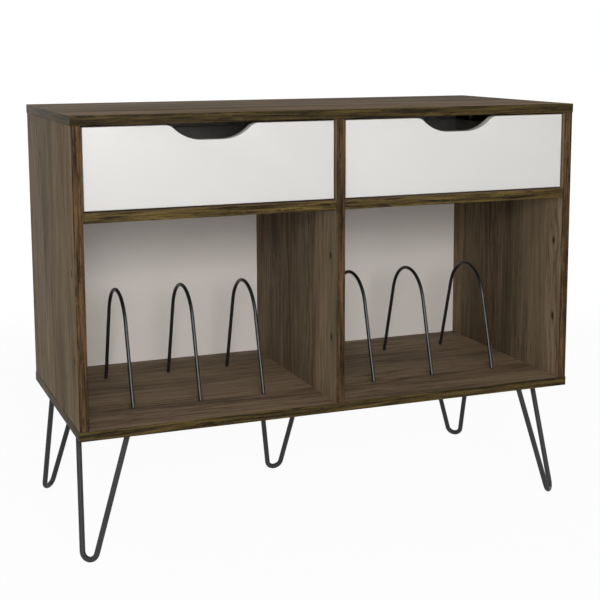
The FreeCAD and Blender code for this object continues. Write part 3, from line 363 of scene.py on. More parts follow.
class Finish:
    """A material, with short ways to add its nodes."""

    def __init__(self, name):
        self.material = bpy.data.materials.new(name)
        self.material.use_nodes = True
        self.tree = self.material.node_tree
        self.tree.nodes.clear()
        self.output = self.tree.nodes.new("ShaderNodeOutputMaterial")
        self.shader = self.tree.nodes.new("ShaderNodeBsdfPrincipled")
        self.tree.links.new(self.shader.outputs["BSDF"], self.output.inputs["Surface"])
        self.place = self.node("ShaderNodeTexCoord").outputs["Object"]

    def node(self, kind, **settings):
        """Add a node, and return it."""
        made = self.tree.nodes.new(kind)
        for key, setting in settings.items():
            setattr(made, key, setting)
        return made

    def put(self, socket, thing):
        """Set a socket, or link another node's output to it."""
        if isinstance(thing, bpy.types.NodeSocket):
            self.tree.links.new(thing, socket)
        elif socket.type == "RGBA":
            socket.default_value = (*thing, 1)
        else:
            socket.default_value = thing

    def calc(self, operation, *things):
        """Work out a number from others."""
        made = self.node("ShaderNodeMath", operation=operation)
        for socket, thing in zip(made.inputs, things):
            self.put(socket, thing)
        return made.outputs[0]

    def weigh(self, *parts):
        """Add up numbers, each times its share."""
        total = 0.0
        for thing, share in parts:
            total = self.calc("MULTIPLY_ADD", thing, share, total)
        return total

    def blend(self, share, first, second):
        """Mix two colours."""
        made = self.node("ShaderNodeMix", data_type="RGBA")
        self.put(made.inputs["Factor"], share)
        # The node's colours have no names of their own, only numbers.
        self.put(made.inputs[6], first)
        self.put(made.inputs[7], second)
        return made.outputs[2]

    def split(self, vector):
        """Return the three parts of a vector."""
        made = self.node("ShaderNodeSeparateXYZ")
        self.put(made.inputs[0], vector)
        return made.outputs[0], made.outputs[1], made.outputs[2]

    def join(self, *parts):
        """Make a vector of up to three numbers."""
        made = self.node("ShaderNodeCombineXYZ")
        for socket, part in zip(made.inputs, parts):
            self.put(socket, part)
        return made.outputs[0]

    def distance(self, vector):
        """Return the length of a vector."""
        made = self.node("ShaderNodeVectorMath", operation="LENGTH")
        self.put(made.inputs[0], vector)
        return made.outputs["Value"]

    def span(self, number, low, high, least=0.0, way="LINEAR"):
        """Turn a number from low to high into one from least to 1."""
        made = self.node("ShaderNodeMapRange", interpolation_type=way)
        self.put(made.inputs["Value"], number)
        made.inputs["From Min"].default_value = low
        made.inputs["From Max"].default_value = high
        made.inputs["To Min"].default_value = least
        return made.outputs["Result"]

    def stretch(self, vector, scale, shift=(0, 0, 0)):
        """Stretch and shift a pattern's coordinates."""
        made = self.node("ShaderNodeMapping")
        self.put(made.inputs["Vector"], vector)
        made.inputs["Scale"].default_value = scale
        made.inputs["Location"].default_value = shift
        return made.outputs[0]

    def noise(self, vector, scale, detail=2.0, rough=0.5, shift=(0, 0, 0)):
        """Add noise with its own scale along each axis."""
        made = self.node("ShaderNodeTexNoise")
        self.put(made.inputs["Vector"], self.stretch(vector, scale, shift))
        made.inputs["Scale"].default_value = 1
        made.inputs["Detail"].default_value = detail
        made.inputs["Roughness"].default_value = rough
        return made.outputs["Fac"]

    def ramp(self, factor, *stops):
        """Turn a number into a colour or a grey by (place, colour) stops."""
        made = self.node("ShaderNodeValToRGB")
        self.put(made.inputs[0], factor)
        elements = made.color_ramp.elements
        while len(elements) < len(stops):
            elements.new(1)
        for element, (spot, tint) in zip(elements, stops):
            element.position = spot
            if isinstance(tint, (int, float)):
                tint = (tint, tint, tint)
            element.color = (*tint, 1)
        return made.outputs[0]

    def grain(self, along, across):
        """Return the coordinates along the grain, across it and through."""
        parts = self.split(self.place)
        return self.join(parts[along], parts[across], parts[third(along, across)])

    def relief(self, height, distance, strength=1.0):
        """Raise and sink the surface by a pattern."""
        made = self.node("ShaderNodeBump")
        self.put(made.inputs["Height"], height)
        made.inputs["Distance"].default_value = distance
        made.inputs["Strength"].default_value = strength
        self.put(self.shader.inputs["Normal"], made.outputs[0])

    def paint(self, **values):
        """Set the shader's own sockets, named with _ for a space."""
        for key, thing in values.items():
            self.put(self.shader.inputs[key.replace("_", " ")], thing)


def wavy(finish, grain, swing):
    """Bend the grain's coordinates sideways, as a tree's grain wanders."""
    drift = finish.noise(grain, (3.1, 9, 9), 2)
    along, across, through = finish.split(grain)
    shift = finish.calc("MULTIPLY", finish.calc("SUBTRACT", drift, 0.5), swing)
    return finish.join(along, finish.calc("ADD", across, shift), through)


def plank_tones(finish, across, planks):
    """Return the tone of the printed planks, side by side across the grain."""
    low, high = cad_box[0].y, cad_box[1].y
    stops = [((edge - low) / (high - low), tone) for edge, tone in planks]
    tones = finish.ramp(finish.span(across, low, high), *stops)
    tones.node.color_ramp.interpolation = "CONSTANT"
    return tones


def knots(finish, grain, places):
    """Bend the grain round each knot, and return it with the knots."""
    along, across, through = finish.split(grain)
    marks = 0.0
    push = 0.0
    for spot, side in places:
        out = finish.calc("SUBTRACT", across, side)
        reach = finish.join(finish.calc("SUBTRACT", along, spot), out)
        far = finish.distance(finish.stretch(reach, (KNOT_WIDTH, 1, 1)))
        swirl = finish.calc("DIVIDE", far, KNOT_SWIRL)
        near = finish.ramp(swirl, (0.0, 1.0), (1.0, 0.0))
        pushed = finish.calc("MULTIPLY", out, near)
        push = finish.calc("MULTIPLY_ADD", pushed, -KNOT_PUSH, push)
        core = finish.ramp(finish.calc("DIVIDE", far, KNOT), (0.45, 1.0), (1.0, 0.0))
        marks = finish.calc("MAXIMUM", marks, core)
    return finish.join(along, finish.calc("ADD", across, push), through), marks


def year_lines(finish, grain, tone):
    """Draw a tree's yearly lines, each fading in and ending in a dark edge."""
    bend = finish.noise(grain, (1.0, 7, 7), 2, 0.5, (3.3, 9.1, 5.7))
    tremble = finish.noise(grain, (13, 26, 26), 3, 0.6, (1.3, 4.1, 2.7))
    across = finish.split(grain)[1]
    count = finish.weigh((across, 55), (bend, 8), (tremble, 1.6), (tone, 10))
    return finish.calc("POWER", finish.calc("FRACT", count), 4)


def walnut_print(wood, name, along, across, planks, knot_places, gloss):
    """Make the boards' print: planks of streaked grain with a few knots."""
    finish = Finish(name)
    place = finish.grain(along, across)
    tone = plank_tones(finish, finish.split(place)[1], planks)
    flowing, knot = knots(finish, place, knot_places)
    grain = wavy(finish, flowing, 0.016)
    broad = finish.noise(grain, (1.8, 16, 16), 3, 0.55)
    streaks = finish.noise(grain, (7, 100, 100), 4, 0.62)
    strokes = finish.noise(grain, (15, 210, 210), 3, 0.6, (2.1, 8.7, 3.9))
    fine = finish.noise(grain, (14, 480, 480), 3, 0.6)
    pores = finish.noise(grain, (60, 1500, 1500), 1, 0.5)
    figure = finish.ramp(
        finish.noise(grain, (2.2, 9, 9), 2, 0.5, (6.1, 2.7, 8.3)),
        (0.40, 0.2),
        (0.58, 1.0),
    )
    lines = finish.calc("MULTIPLY", year_lines(finish, grain, tone), figure)
    level = finish.weigh(
        (broad, 0.42),
        (streaks, 0.32),
        (fine, 0.26),
        (finish.calc("SUBTRACT", tone, 0.5), 0.10),
        (lines, -0.13),
    )
    brown = finish.ramp(
        level,
        (0.37, wood.deep),
        (0.49, wood.brown),
        (0.61, wood.pale),
    )
    cool = finish.ramp(finish.noise(grain, (0.7, 11, 11), 2), (0.42, 0.0), (0.60, 0.7))
    tint = finish.blend(cool, brown, finish.blend(0.6, brown, wood.olive))
    dashes = finish.ramp(strokes, (0.56, 0.0), (0.64, 0.8))
    dashes = finish.calc("MULTIPLY", dashes, figure)
    tint = finish.blend(dashes, tint, wood.deep)
    holes = finish.ramp(pores, (0.62, 0.0), (0.76, 0.45))
    tint = finish.blend(holes, tint, wood.deep)
    tint = finish.blend(knot, tint, wood.knot)
    finish.paint(
        Base_Color=tint,
        Roughness=finish.ramp(streaks, (0.3, 0.82), (0.7, 0.74)),
        Specular_IOR_Level=gloss,
    )
    pits = finish.calc("MULTIPLY_ADD", holes, -0.6, fine)
    finish.relief(pits, 0.05 * MM, 0.5)
    return finish.material


def walnut_band(wood, name, along, across, tone):
    """Make an edge band's print: dark marks on yellower brown."""
    finish = Finish(name)
    grain = wavy(finish, finish.grain(along, across), 0.010)
    streaks = finish.noise(grain, (8, 300, 300), 4, 0.62)
    marks = finish.noise(grain, (30, 190, 190), 4, 0.66, (7.3, 1.9, 4.1))
    patches = finish.noise(grain, (9, 60, 60), 2, 0.5, (2.3, 5.1, 8.2))
    speckle = finish.noise(grain, (120, 900, 900), 2, 0.6)
    level = finish.weigh((streaks, 0.62), (marks, 0.26), (speckle, 0.12))
    brown = wood.band_red if along == Z else wood.band_brown
    # The board's tone makes its band lighter or darker to match how bright that band
    # shows: partly painted light and shade, partly the print, as on the top's darker band.
    tint = finish.ramp(
        level,
        (0.40, wood.band_deep),
        (0.48, shaded(brown, tone)),
        (0.58, shaded(brown, tone * BAND_PALER)),
    )
    dark = finish.ramp(marks, (0.53, 0.0), (0.61, 0.9))
    here = finish.ramp(patches, (0.42, 0.15), (0.56, 1.0))
    dark = finish.calc("MULTIPLY", dark, here)
    tint = finish.blend(dark, tint, wood.band_deep)
    finish.paint(Base_Color=tint, Roughness=0.6, Specular_IOR_Level=0.1)
    finish.relief(speckle, 0.04 * MM, 0.4)
    return finish.material


# The colours of the chips in a raw edge, from the darkest to the palest.
CHIP_TONES = (
    (0.0, (0.20, 0.12, 0.06)),
    (0.5, (0.36, 0.25, 0.14)),
    (1.0, (0.50, 0.38, 0.24)),
)


def raw_board():
    """Make pressed wood chips, as on an edge that nobody sees."""
    finish = Finish("pressed_chips")
    chips = finish.node("ShaderNodeTexVoronoi")
    finish.put(chips.inputs["Vector"], finish.stretch(finish.place, (420, 420, 900)))
    chips.inputs["Scale"].default_value = 1
    grit = finish.noise(finish.place, (1500, 1500, 1500), 3, 0.6)
    parts = finish.node("ShaderNodeSeparateColor")
    finish.put(parts.inputs[0], chips.outputs["Color"])
    tint = finish.ramp(parts.outputs[0], *CHIP_TONES)
    tint = finish.blend(0.25, tint, finish.ramp(grit, (0.3, 0.1), (0.7, 0.5)))
    finish.paint(Base_Color=tint, Roughness=0.85)
    finish.relief(grit, 0.3 * MM, 0.6)
    return finish.material


def sprayed_white(drawers):
    """Make satin white lacquer with a faint orange peel."""
    finish = Finish("sprayed_white")
    peel = finish.noise(finish.place, (260, 260, 260), 2, 0.5)
    cloud = finish.noise(finish.place, (5, 5, 5), 2, 0.5)
    white = drawers.white
    tint = finish.ramp(cloud, (0.35, shaded(white, 0.985)), (0.65, white))
    finish.paint(
        Base_Color=tint,
        Roughness=finish.ramp(peel, (0.3, 0.34), (0.7, 0.40)),
        Specular_IOR_Level=0.45,
    )
    finish.relief(peel, 0.02 * MM, 0.25)
    return finish.material


def white_hardboard(drawers):
    """Make the white face of the hardboard back."""
    finish = Finish("white_hardboard")
    fibres = finish.noise(finish.place, (320, 320, 900), 4, 0.65)
    cloud = finish.noise(finish.place, (9, 9, 6), 3, 0.5)
    white = drawers.hardboard
    tint = finish.ramp(cloud, (0.3, shaded(white, 0.97)), (0.7, white))
    specks = finish.ramp(fibres, (0.64, 0.0), (0.78, 0.12))
    tint = finish.blend(specks, tint, (0.45, 0.42, 0.38))
    finish.paint(Base_Color=tint, Roughness=0.62, Specular_IOR_Level=0.35)
    finish.relief(fibres, 0.05 * MM, 0.4)
    return finish.material


def raw_hardboard(drawers):
    """Make the brown, fibrous rear of the hardboard back."""
    finish = Finish("raw_hardboard")
    fibres = finish.noise(finish.place, (700, 700, 500), 5, 0.7)
    screen = finish.node("ShaderNodeTexWave", bands_direction="DIAGONAL")
    finish.put(screen.inputs["Vector"], finish.stretch(finish.place, (420, 420, 420)))
    screen.inputs["Scale"].default_value = 1
    screen.inputs["Distortion"].default_value = 3
    brown = drawers.raw_hardboard
    tint = finish.ramp(fibres, (0.3, shaded(brown, 0.6)), (0.7, shaded(brown, 1.35)))
    mottle = finish.noise(finish.place, (26, 26, 17), 4, 0.62)
    mottle = finish.ramp(mottle, (0.38, 0.0), (0.64, 0.4))
    tint = finish.blend(mottle, tint, shaded(brown, 1.5))
    scuffs = finish.noise(finish.place, (5, 5, 150), 3, 0.6)
    scuffs = finish.ramp(scuffs, (0.60, 0.0), (0.72, 0.35))
    tint = finish.blend(scuffs, tint, shaded(brown, 0.55))
    finish.paint(Base_Color=tint, Roughness=0.85)
    height = finish.calc("MULTIPLY_ADD", screen.outputs["Fac"], 0.4, fibres)
    finish.relief(height, 0.15 * MM, 0.6)
    return finish.material


def grey_foil(drawers):
    """Make the foil that wraps the drawer boxes: a fine linen grain."""
    finish = Finish("grey_foil")
    threads = ((90, 90, 2600), (90, 2600, 90), (2600, 90, 90))
    noises = [finish.noise(finish.place, scale) for scale in threads]
    cloth = finish.weigh(*((noise, 1 / 3) for noise in noises))
    grey = drawers.foil
    tint = finish.ramp(cloth, (0.40, shaded(grey, 0.93)), (0.60, shaded(grey, 1.05)))
    finish.paint(Base_Color=tint, Roughness=0.55, Specular_IOR_Level=0.4)
    finish.relief(cloth, 0.04 * MM, 0.5)
    return finish.material


def powder_coat(name, tint, rough, grit=0.05 * MM, gloss=0.5):
    """Make a baked powder coat: a little cloudy, with a fine orange peel."""
    finish = Finish(name)
    peel = finish.noise(finish.place, (520, 520, 520), 3, 0.55)
    cloud = finish.noise(finish.place, (30, 30, 18), 2, 0.5)
    shade = finish.ramp(cloud, (0.3, shaded(tint, 0.88)), (0.7, shaded(tint, 1.12)))
    finish.paint(
        Base_Color=shade,
        Roughness=finish.ramp(peel, (0.35, rough - 0.05), (0.65, rough + 0.06)),
        Specular_IOR_Level=gloss,
    )
    finish.relief(peel, grit, 0.5)
    return finish.material


def zinc_plate(metal):
    """Make bright zinc with turning marks."""
    finish = Finish("zinc_plate")
    marks = finish.noise(finish.place, (900, 900, 2200), 3, 0.6)
    cloud = finish.noise(finish.place, (160, 160, 160), 2, 0.5)
    zinc = metal.zinc
    tint = finish.ramp(cloud, (0.3, shaded(zinc, 0.85)), (0.7, shaded(zinc, 1.15)))
    finish.paint(
        Base_Color=tint,
        Metallic=1.0,
        Roughness=finish.ramp(marks, (0.3, 0.26), (0.7, 0.42)),
    )
    finish.relief(marks, 0.02 * MM, 0.4)
    return finish.material


def moulded_nylon(metal):
    """Make milky nylon with faint mould swirls."""
    finish = Finish("moulded_nylon")
    swirl = finish.noise(finish.place, (240, 240, 240), 3, 0.5)
    nylon = metal.nylon
    tint = finish.ramp(swirl, (0.3, shaded(nylon, 0.93)), (0.7, nylon))
    finish.paint(Base_Color=tint, Roughness=0.38, Specular_IOR_Level=0.5)
    finish.relief(swirl, 0.03 * MM, 0.3)
    return finish.material


def turned_beech(metal):
    """Make plain beech with short darker flecks."""
    finish = Finish("turned_beech")
    grain = finish.grain(Z, X)
    streaks = finish.noise(grain, (30, 700, 700), 3, 0.6)
    flecks = finish.noise(grain, (260, 1800, 1800), 1, 0.5)
    beech = metal.beech
    tint = finish.ramp(streaks, (0.3, shaded(beech, 0.78)), (0.7, shaded(beech, 1.1)))
    spots = finish.ramp(flecks, (0.62, 0.0), (0.75, 0.5))
    tint = finish.blend(spots, tint, shaded(beech, 0.45))
    finish.paint(Base_Color=tint, Roughness=0.6)
    finish.relief(streaks, 0.05 * MM, 0.5)
    return finish.material


# Boards of the cabinet: the print and its gloss, how light the edge bands are,
# and which edges have a band. The bands are one laminate; each board's band is
# made lighter or darker to match how bright that band shows. That difference is
# partly painted light and shade, and partly the print, whose marks are darkest on
# the top's band. A band is named for its side of the board; it holds the axis
# that it faces, the end of that axis and the way of its grain.
FRONT_X = {"front_band": (Y, 0, X)}
FRONT_Z = {"front_band": (Y, 0, Z)}
ALL_ROUND = {
    "front_band": (Y, 0, X),
    "left_band": (X, 0, Y),
    "right_band": (X, 1, Y),
}
BOARDS = {
    "top_panel": (LEVEL, 0.10, 0.72, ALL_ROUND),
    "bottom_panel": (BOTTOM, 0.25, 0.85, ALL_ROUND),
    "left_side_panel": (UPRIGHT, 0.12, 0.95, FRONT_Z),
    "right_side_panel": (UPRIGHT, 0.12, 0.88, FRONT_Z),
    "centre_divider": (UPRIGHT, 0.25, 0.80, FRONT_Z),
    "left_shelf": (LEVEL, 0.12, 1.25, FRONT_X),
    "right_shelf": (LEVEL, 0.12, 1.08, FRONT_X),
}


def face_towards(axis, end, limits):
    """Return a test for the faces on one side of a piece's box."""

    def test(face):
        return all(abs(v.co[axis] - limits[end][axis]) < NEAR for v in face.verts)

    return test


def trim_for_band(piece, axis, end, thickness):
    """Move one side of a board in, to leave room for its edge band."""
    limits = corners(piece)
    pick(piece, "FACE", face_towards(axis, end, limits))
    step = [0, 0, 0]
    step[axis] = thickness if end == 0 else -thickness
    bpy.ops.transform.translate(value=step)


def band_limits(limits, axis, end, thickness, others):
    """Return the corners of an edge band, inside the bands cut before it."""
    low, high = limits[0].copy(), limits[1].copy()
    if end == 0:
        high[axis] = low[axis] + thickness
    else:
        low[axis] = high[axis] - thickness
    for other_axis, other_end in others:
        if other_axis == axis:
            continue
        if other_end == 0:
            low[other_axis] += thickness
        else:
            high[other_axis] -= thickness
    return low, high


class STAND_OT_boards(bpy.types.Operator):
    """Finish the cabinet's boards with walnut print and edge bands"""

    bl_idname = "stand.boards"
    bl_label = "Cabinet boards"

    def execute(self, context):
        wood = context.scene.stand_wood
        chips = raw_board()
        for node, (pattern, gloss, tone, edges) in BOARDS.items():
            look = walnut_print(wood, f"{node}_print", *pattern, gloss)
            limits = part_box(node)
            piece = solid_copy(node, f"{node}_board")
            for axis, end, _ in edges.values():
                trim_for_band(piece, axis, end, wood.band)
            round_outline(piece, wood.board_round)
            smooth(piece)
            finish_piece(piece, "cabinet", "walnut_laminate", look, chips)
            self.show_chips(piece)
            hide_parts(node)
            done = []
            for side, (axis, end, way) in edges.items():
                low, high = band_limits(limits, axis, end, wood.band, done)
                band = block(f"{node}_{side}", low, high)
                self.shape_band(band, axis, end, wood.band_round)
                smooth(band)
                across = third(way, axis)
                look = walnut_band(wood, f"{band.name}_print", way, across, tone)
                finish_piece(band, "cabinet", "walnut_laminate", look)
                done.append((axis, end))
        return {"FINISHED"}

    def show_chips(self, piece):
        """Leave the rear edge of a board raw."""
        for face in piece.data.polygons:
            if face.normal.y > FACING:
                face.material_index = 1

    def shape_band(self, band, axis, end, radius):
        """Round the outer edges of a band."""
        edit(band)
        limits = corners(band)
        outer = face_towards(axis, end, limits)
        pick(band, "EDGE", lambda edge: outer(edge) and sides_met(edge, limits) > 1)
        bpy.ops.mesh.bevel(offset=radius, segments=SOFT_STEPS, affect="EDGES")


class STAND_OT_back(bpy.types.Operator):
    """Finish the hardboard back: white inside, raw outside"""

    bl_idname = "stand.back"
    bl_label = "Back"

    def execute(self, context):
        drawers = context.scene.stand_drawers
        piece = solid_copy("back_panel", "back_panel_hardboard")
        round_outline(piece, drawers.back_round)
        smooth(piece)
        white = white_hardboard(drawers)
        raw = raw_hardboard(drawers)
        finish_piece(piece, "cabinet", "white_hardboard", raw, white)
        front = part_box("back_panel")[0].y
        for face in piece.data.polygons:
            if abs(face.center.y - front) < NEAR:
                face.material_index = 1
        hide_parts("back_panel")
        return {"FINISHED"}


class STAND_OT_drawer_fronts(bpy.types.Operator):
    """Spray the drawer fronts satin white, with soft edges"""

    bl_idname = "stand.drawer_fronts"
    bl_label = "Drawer fronts"

    def execute(self, context):
        drawers = context.scene.stand_drawers
        white = sprayed_white(drawers)
        for side in BAY_SIDES:
            node = f"{side}_drawer_front"
            piece = solid_copy(node, f"{node}_sprayed")
            self.soften(piece, drawers.front_round)
            smooth(piece)
            finish_piece(piece, f"{side}_drawer", "white_front", white)
            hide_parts(node)
        return {"FINISHED"}

    def soften(self, piece, radius):
        """Round every edge of the front face, the finger scoop's too."""
        limits = corners(piece)
        front = face_towards(Y, 0, limits)

        def outline(edge):
            return front(edge) and not all(front(face) for face in edge.link_faces)

        pick(piece, "EDGE", outline)
        bpy.ops.mesh.bevel(offset=radius, segments=SOFT_STEPS, affect="EDGES")


class STAND_OT_drawer_boxes(bpy.types.Operator):
    """Wrap the drawer boxes in grey foil"""

    bl_idname = "stand.drawer_boxes"
    bl_label = "Drawer boxes"

    def execute(self, context):
        drawers = context.scene.stand_drawers
        foil = grey_foil(drawers)
        for side in BAY_SIDES:
            for board in ("left_side", "right_side", "back", "bottom"):
                node = f"{side}_drawer_{board}"
                piece = solid_copy(node, f"{node}_foil")
                round_outline(piece, drawers.box_round)
                smooth(piece)
                finish_piece(piece, f"{side}_drawer", "drawer_board", foil)
                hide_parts(node)
        return {"FINISHED"}


class STAND_OT_wires(bpy.types.Operator):
    """Coat the record dividers black"""

    bl_idname = "stand.wires"
    bl_label = "Record dividers"

    def execute(self, context):
        black = powder_coat("black_coat", context.scene.stand_metal.wire, 0.34)
        dress([name for name in NODES if name.startswith("record_divider")], black)
        return {"FINISHED"}


LEGS = nodes_ending("_leg")
# The thickness of a leg's plate, and the radius of its rod.
PLATE = 3 * MM
ROD_RADIUS = 4.75 * MM
# The long edges of a rod run down at least this far from its plate.
ROD_DROP = 20 * MM
# A weld bead: its points round the rod and round itself, how far it stands off
# the rod as a share of its thickness, and its lumps, their height and the seed
# of their random heights.
BEAD_POINTS = (40, 10)
BEAD_OFF = 0.35
LUMPS = 12
LUMP_HEIGHT = 0.25 * MM
WELD_SEED = 4


def rod_seats(node):
    """Return the middles of a leg's two rods where they meet its plate."""
    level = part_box(node)[1].z - PLATE
    mesh = NODES[node].data
    tops = []
    for edge in mesh.edges:
        ends = sorted((mesh.vertices[i].co for i in edge.vertices), key=lambda co: co.z)
        if abs(ends[1].z - level) < NEAR and ends[0].z < level - ROD_DROP:
            tops.append(ends[1].copy())
    if not tops:
        raise RuntimeError(f"{node} has no rod under its plate")
    first = tops[0]
    far = max(tops, key=lambda co: (co - first).length)
    groups = ([], [])
    for co in tops:
        on_far_rod = (co - far).length < (co - first).length
        groups[on_far_rod].append(co)
    seats = []
    for group in groups:
        low, high = limits_of(group)
        seats.append((low + high) / 2)
    return seats


class STAND_OT_legs(bpy.types.Operator):
    """Coat the legs charcoal and weld their rods to their plates"""

    bl_idname = "stand.legs"
    bl_label = "Legs"

    def execute(self, context):
        metal = context.scene.stand_metal
        coat = powder_coat("charcoal_coat", metal.rod, 0.46, 0.08 * MM, gloss=0.15)
        dress(LEGS, coat)
        rng = random.Random(WELD_SEED)
        for node in LEGS:
            seats = rod_seats(node)
            welds = join_all([self.bead(seat, metal.bead, rng) for seat in seats])
            welds.name = f"{node}_welds"
            smooth(welds)
            finish_piece(welds, "cabinet", "charcoal_rod", coat)
        return {"FINISHED"}

    def bead(self, seat, thickness, rng):
        """Lay a lumpy weld bead round a rod, flat against the plate."""
        deselect()
        bpy.ops.mesh.primitive_torus_add(
            location=seat,
            major_radius=ROD_RADIUS + thickness * BEAD_OFF,
            minor_radius=thickness,
            major_segments=BEAD_POINTS[0],
            minor_segments=BEAD_POINTS[1],
        )
        bead = just_added("bead")
        set_down()
        lumps = [rng.uniform(-LUMP_HEIGHT, LUMP_HEIGHT) for _ in range(LUMPS)]
        for vertex in bead.data.vertices:
            out = vertex.co - seat
            turn = (math.atan2(out.y, out.x) / math.tau) % 1 * LUMPS
            here = int(turn) % LUMPS
            after = (here + 1) % LUMPS
            lump = lumps[here] + (lumps[after] - lumps[here]) * (turn - int(turn))
            out.z = min(out.z, 0) + min(lump, 0)
            flat = Vector((out.x, out.y, 0))
            vertex.co = seat + out + flat.normalized() * lump
            vertex.co.z = min(vertex.co.z, seat.z)
        return bead


class STAND_OT_runners(bpy.types.Operator):
    """Enamel the runners and mould the rollers"""

    bl_idname = "stand.runners"
    bl_label = "Runners and rollers"

    def execute(self, context):
        metal = context.scene.stand_metal
        enamel = powder_coat("runner_enamel", metal.enamel, 0.36, 0.04 * MM)
        dress(nodes_ending("_runner"), enamel)
        dress(nodes_ending("_roller"), moulded_nylon(metal))
        return {"FINISHED"}


# Crosses sunk in the heads of screws and cam locks: for each diameter of the
# head, the length of the cross and its depth.
CROSSES = {
    15 * MM: (7.0 * MM, 2.4 * MM),
    12 * MM: (6.0 * MM, 2.2 * MM),
    10 * MM: (5.4 * MM, 2.6 * MM),
    8 * MM: (4.6 * MM, 2.0 * MM),
    7 * MM: (4.2 * MM, 1.9 * MM),
    6 * MM: (3.7 * MM, 1.6 * MM),
}
# An arm's width as a share of the cross's length, the cross's size at its
# bottom as a share of its size at the top, and how far its cutter stands out of
# the head.
CROSS_ARM = 0.27
CROSS_TAPER = 0.6
CROSS_OVERCUT = 0.5 * MM
# A head is a face with at least so many corners, and its diameter is within
# this share of one of those above.
LEAST_CORNERS = 12
HEAD_MATCH = 0.02
TURN_SEED = 9
FITTINGS = nodes_ending("_screws", "cam_locks")


def body_of(node):
    """Return the body that a group of fittings rides on."""
    side, of_drawer, _ = node.partition("_drawer_")
    return f"{side}_drawer" if of_drawer else "cabinet"


class STAND_OT_fittings(bpy.types.Operator):
    """Finish the screws and cam locks, with crosses in their heads"""

    bl_idname = "stand.fittings"
    bl_label = "Fittings"

    def execute(self, context):
        metal = context.scene.stand_metal
        zinc = zinc_plate(metal)
        dress(nodes_ending("cam_bolts", "_nails"), zinc)
        dress(["dowels"], turned_beech(metal))
        self.cutters = {size: self.cross(*cut) for size, cut in CROSSES.items()}
        rng = random.Random(TURN_SEED)
        for node in FITTINGS:
            piece = solid_copy(node, f"{node}_with_crosses")
            self.cut(piece, [self.aim(*head, rng) for head in self.heads(piece)])
            smooth(piece)
            finish_piece(piece, body_of(node), "zinc", zinc)
            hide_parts(node)
        for cutter in self.cutters.values():
            bpy.data.objects.remove(cutter)
        return {"FINISHED"}

    def cross(self, length, depth):
        """Model a tapered cross that points down from just above a head."""
        arm = length * CROSS_ARM
        deselect()
        bpy.ops.mesh.primitive_cube_add(size=1)
        cutter = just_added("cross")
        cutter.scale = (arm, arm, depth + CROSS_OVERCUT)
        cutter.location.z = (CROSS_OVERCUT - depth) / 2
        set_down()
        edit(cutter)
        for axis in (X, Y):
            for side in (-1, 1):
                self.pull_arm(cutter, axis, side, arm, (length - arm) / 2)
        pick(cutter, "FACE", lambda face: face.normal.z < -FACING)
        bpy.ops.transform.resize(
            value=(CROSS_TAPER, CROSS_TAPER, 1),
            center_override=(0, 0, 0),
        )
        deselect()
        return cutter

    def pull_arm(self, cutter, axis, side, arm, reach):
        """Pull one arm of a cross out of its middle."""

        def end_of_middle(face):
            in_line = all(abs(v.co[1 - axis]) < arm for v in face.verts)
            return face.normal[axis] * side > FACING and in_line

        pick(cutter, "FACE", end_of_middle)
        step = [0, 0, 0]
        step[axis] = side * reach
        bpy.ops.mesh.extrude_region_move(TRANSFORM_OT_translate={"value": step})

    def heads(self, piece):
        """Return the middle, the way and the diameter of each head."""
        deselect()
        found = []
        for face in piece.data.polygons:
            places = [piece.data.vertices[i].co for i in face.vertices]
            if len(places) < LEAST_CORNERS:
                continue
            middle = sum(places, Vector()) / len(places)
            reaches = [(place - middle).length for place in places]
            for size in CROSSES:
                if all(abs(reach * 2 - size) < HEAD_MATCH * size for reach in reaches):
                    found.append((middle, face.normal.copy(), size))
        if not found:
            raise RuntimeError(f"{piece.name} has no heads")
        return found

    def aim(self, middle, way, size, rng):
        """Copy a cross to a head, turned at random as screws end up."""
        cutter = self.cutters[size].copy()
        cutter.data = cutter.data.copy()
        bpy.context.scene.collection.objects.link(cutter)
        turn = Matrix.Rotation(rng.uniform(0, math.pi / 2), 4, "Z")
        facing = way.to_track_quat("Z", "X").to_matrix().to_4x4()
        cutter.data.transform(Matrix.Translation(middle) @ facing @ turn)
        return cutter

    def cut(self, piece, cutters):
        """Sink all the crosses of a piece at once."""
        joined = join_all(cutters)
        take(piece)
        bpy.ops.object.modifier_add(type="BOOLEAN")
        sunk = piece.modifiers[-1]
        sunk.object = joined
        sunk.operation = "DIFFERENCE"
        sunk.solver = "EXACT"
        bpy.ops.object.modifier_apply(modifier=sunk.name)
        bpy.data.objects.remove(joined)


# The studio.
def seen(tree):
    """Return 1 where a surface is seen straight, in gloss or through glass."""
    path = tree.nodes.new("ShaderNodeLightPath")
    total = path.outputs["Is Camera Ray"]
    for name in ("Is Glossy Ray", "Is Transmission Ray"):
        most = tree.nodes.new("ShaderNodeMath")
        most.operation = "MAXIMUM"
        tree.links.new(total, most.inputs[0])
        tree.links.new(path.outputs[name], most.inputs[1])
        total = most.outputs[0]
    return total


WHITE = (1, 1, 1)
DAYLIGHT = (0.80, 0.95, 1)
# Soft lamps: the place, the width and height, the power in watts, the colour.
LAMPS = {
    "key": ((-0.8, -3.4, 1.62), (1.6, 0.6), 44, WHITE),
    "high": ((-0.8, -3.2, 2.5), (1.6, 0.8), 9, WHITE),
    "level": ((-0.8, -3.6, 1.12), (1.6, 0.5), 22, WHITE),
    "low": ((-0.5, -3.6, 0.55), (2.4, 0.6), 6, WHITE),
    "left": ((-3.5, -0.8, 0.4), (1.4, 0.8), 12, DAYLIGHT),
    "right": ((2.2, -3.0, 1.2), (1.4, 1.0), 3, WHITE),
    "far right": ((3.5, 0.9, 0.36), (1.6, 0.6), 10, WHITE),
    "rear": ((-1.2, 3.3, 2.0), (1.6, 1.6), 18, WHITE),
}
LAMP_AIM = Vector((0, 0, 0.45))
# The floor: its width, how bright it looks from afar, where it turns from the
# near part to the far one, and how much of that glow the near part has.
FLOOR = 60
FLOOR_GLOW = 1.05
FLOOR_NEAR = 1.2
FLOOR_FAR = 3.0
FLOOR_SHARE = 0.9
# The width of the camera's sensor, in millimetres.
SENSOR = 36


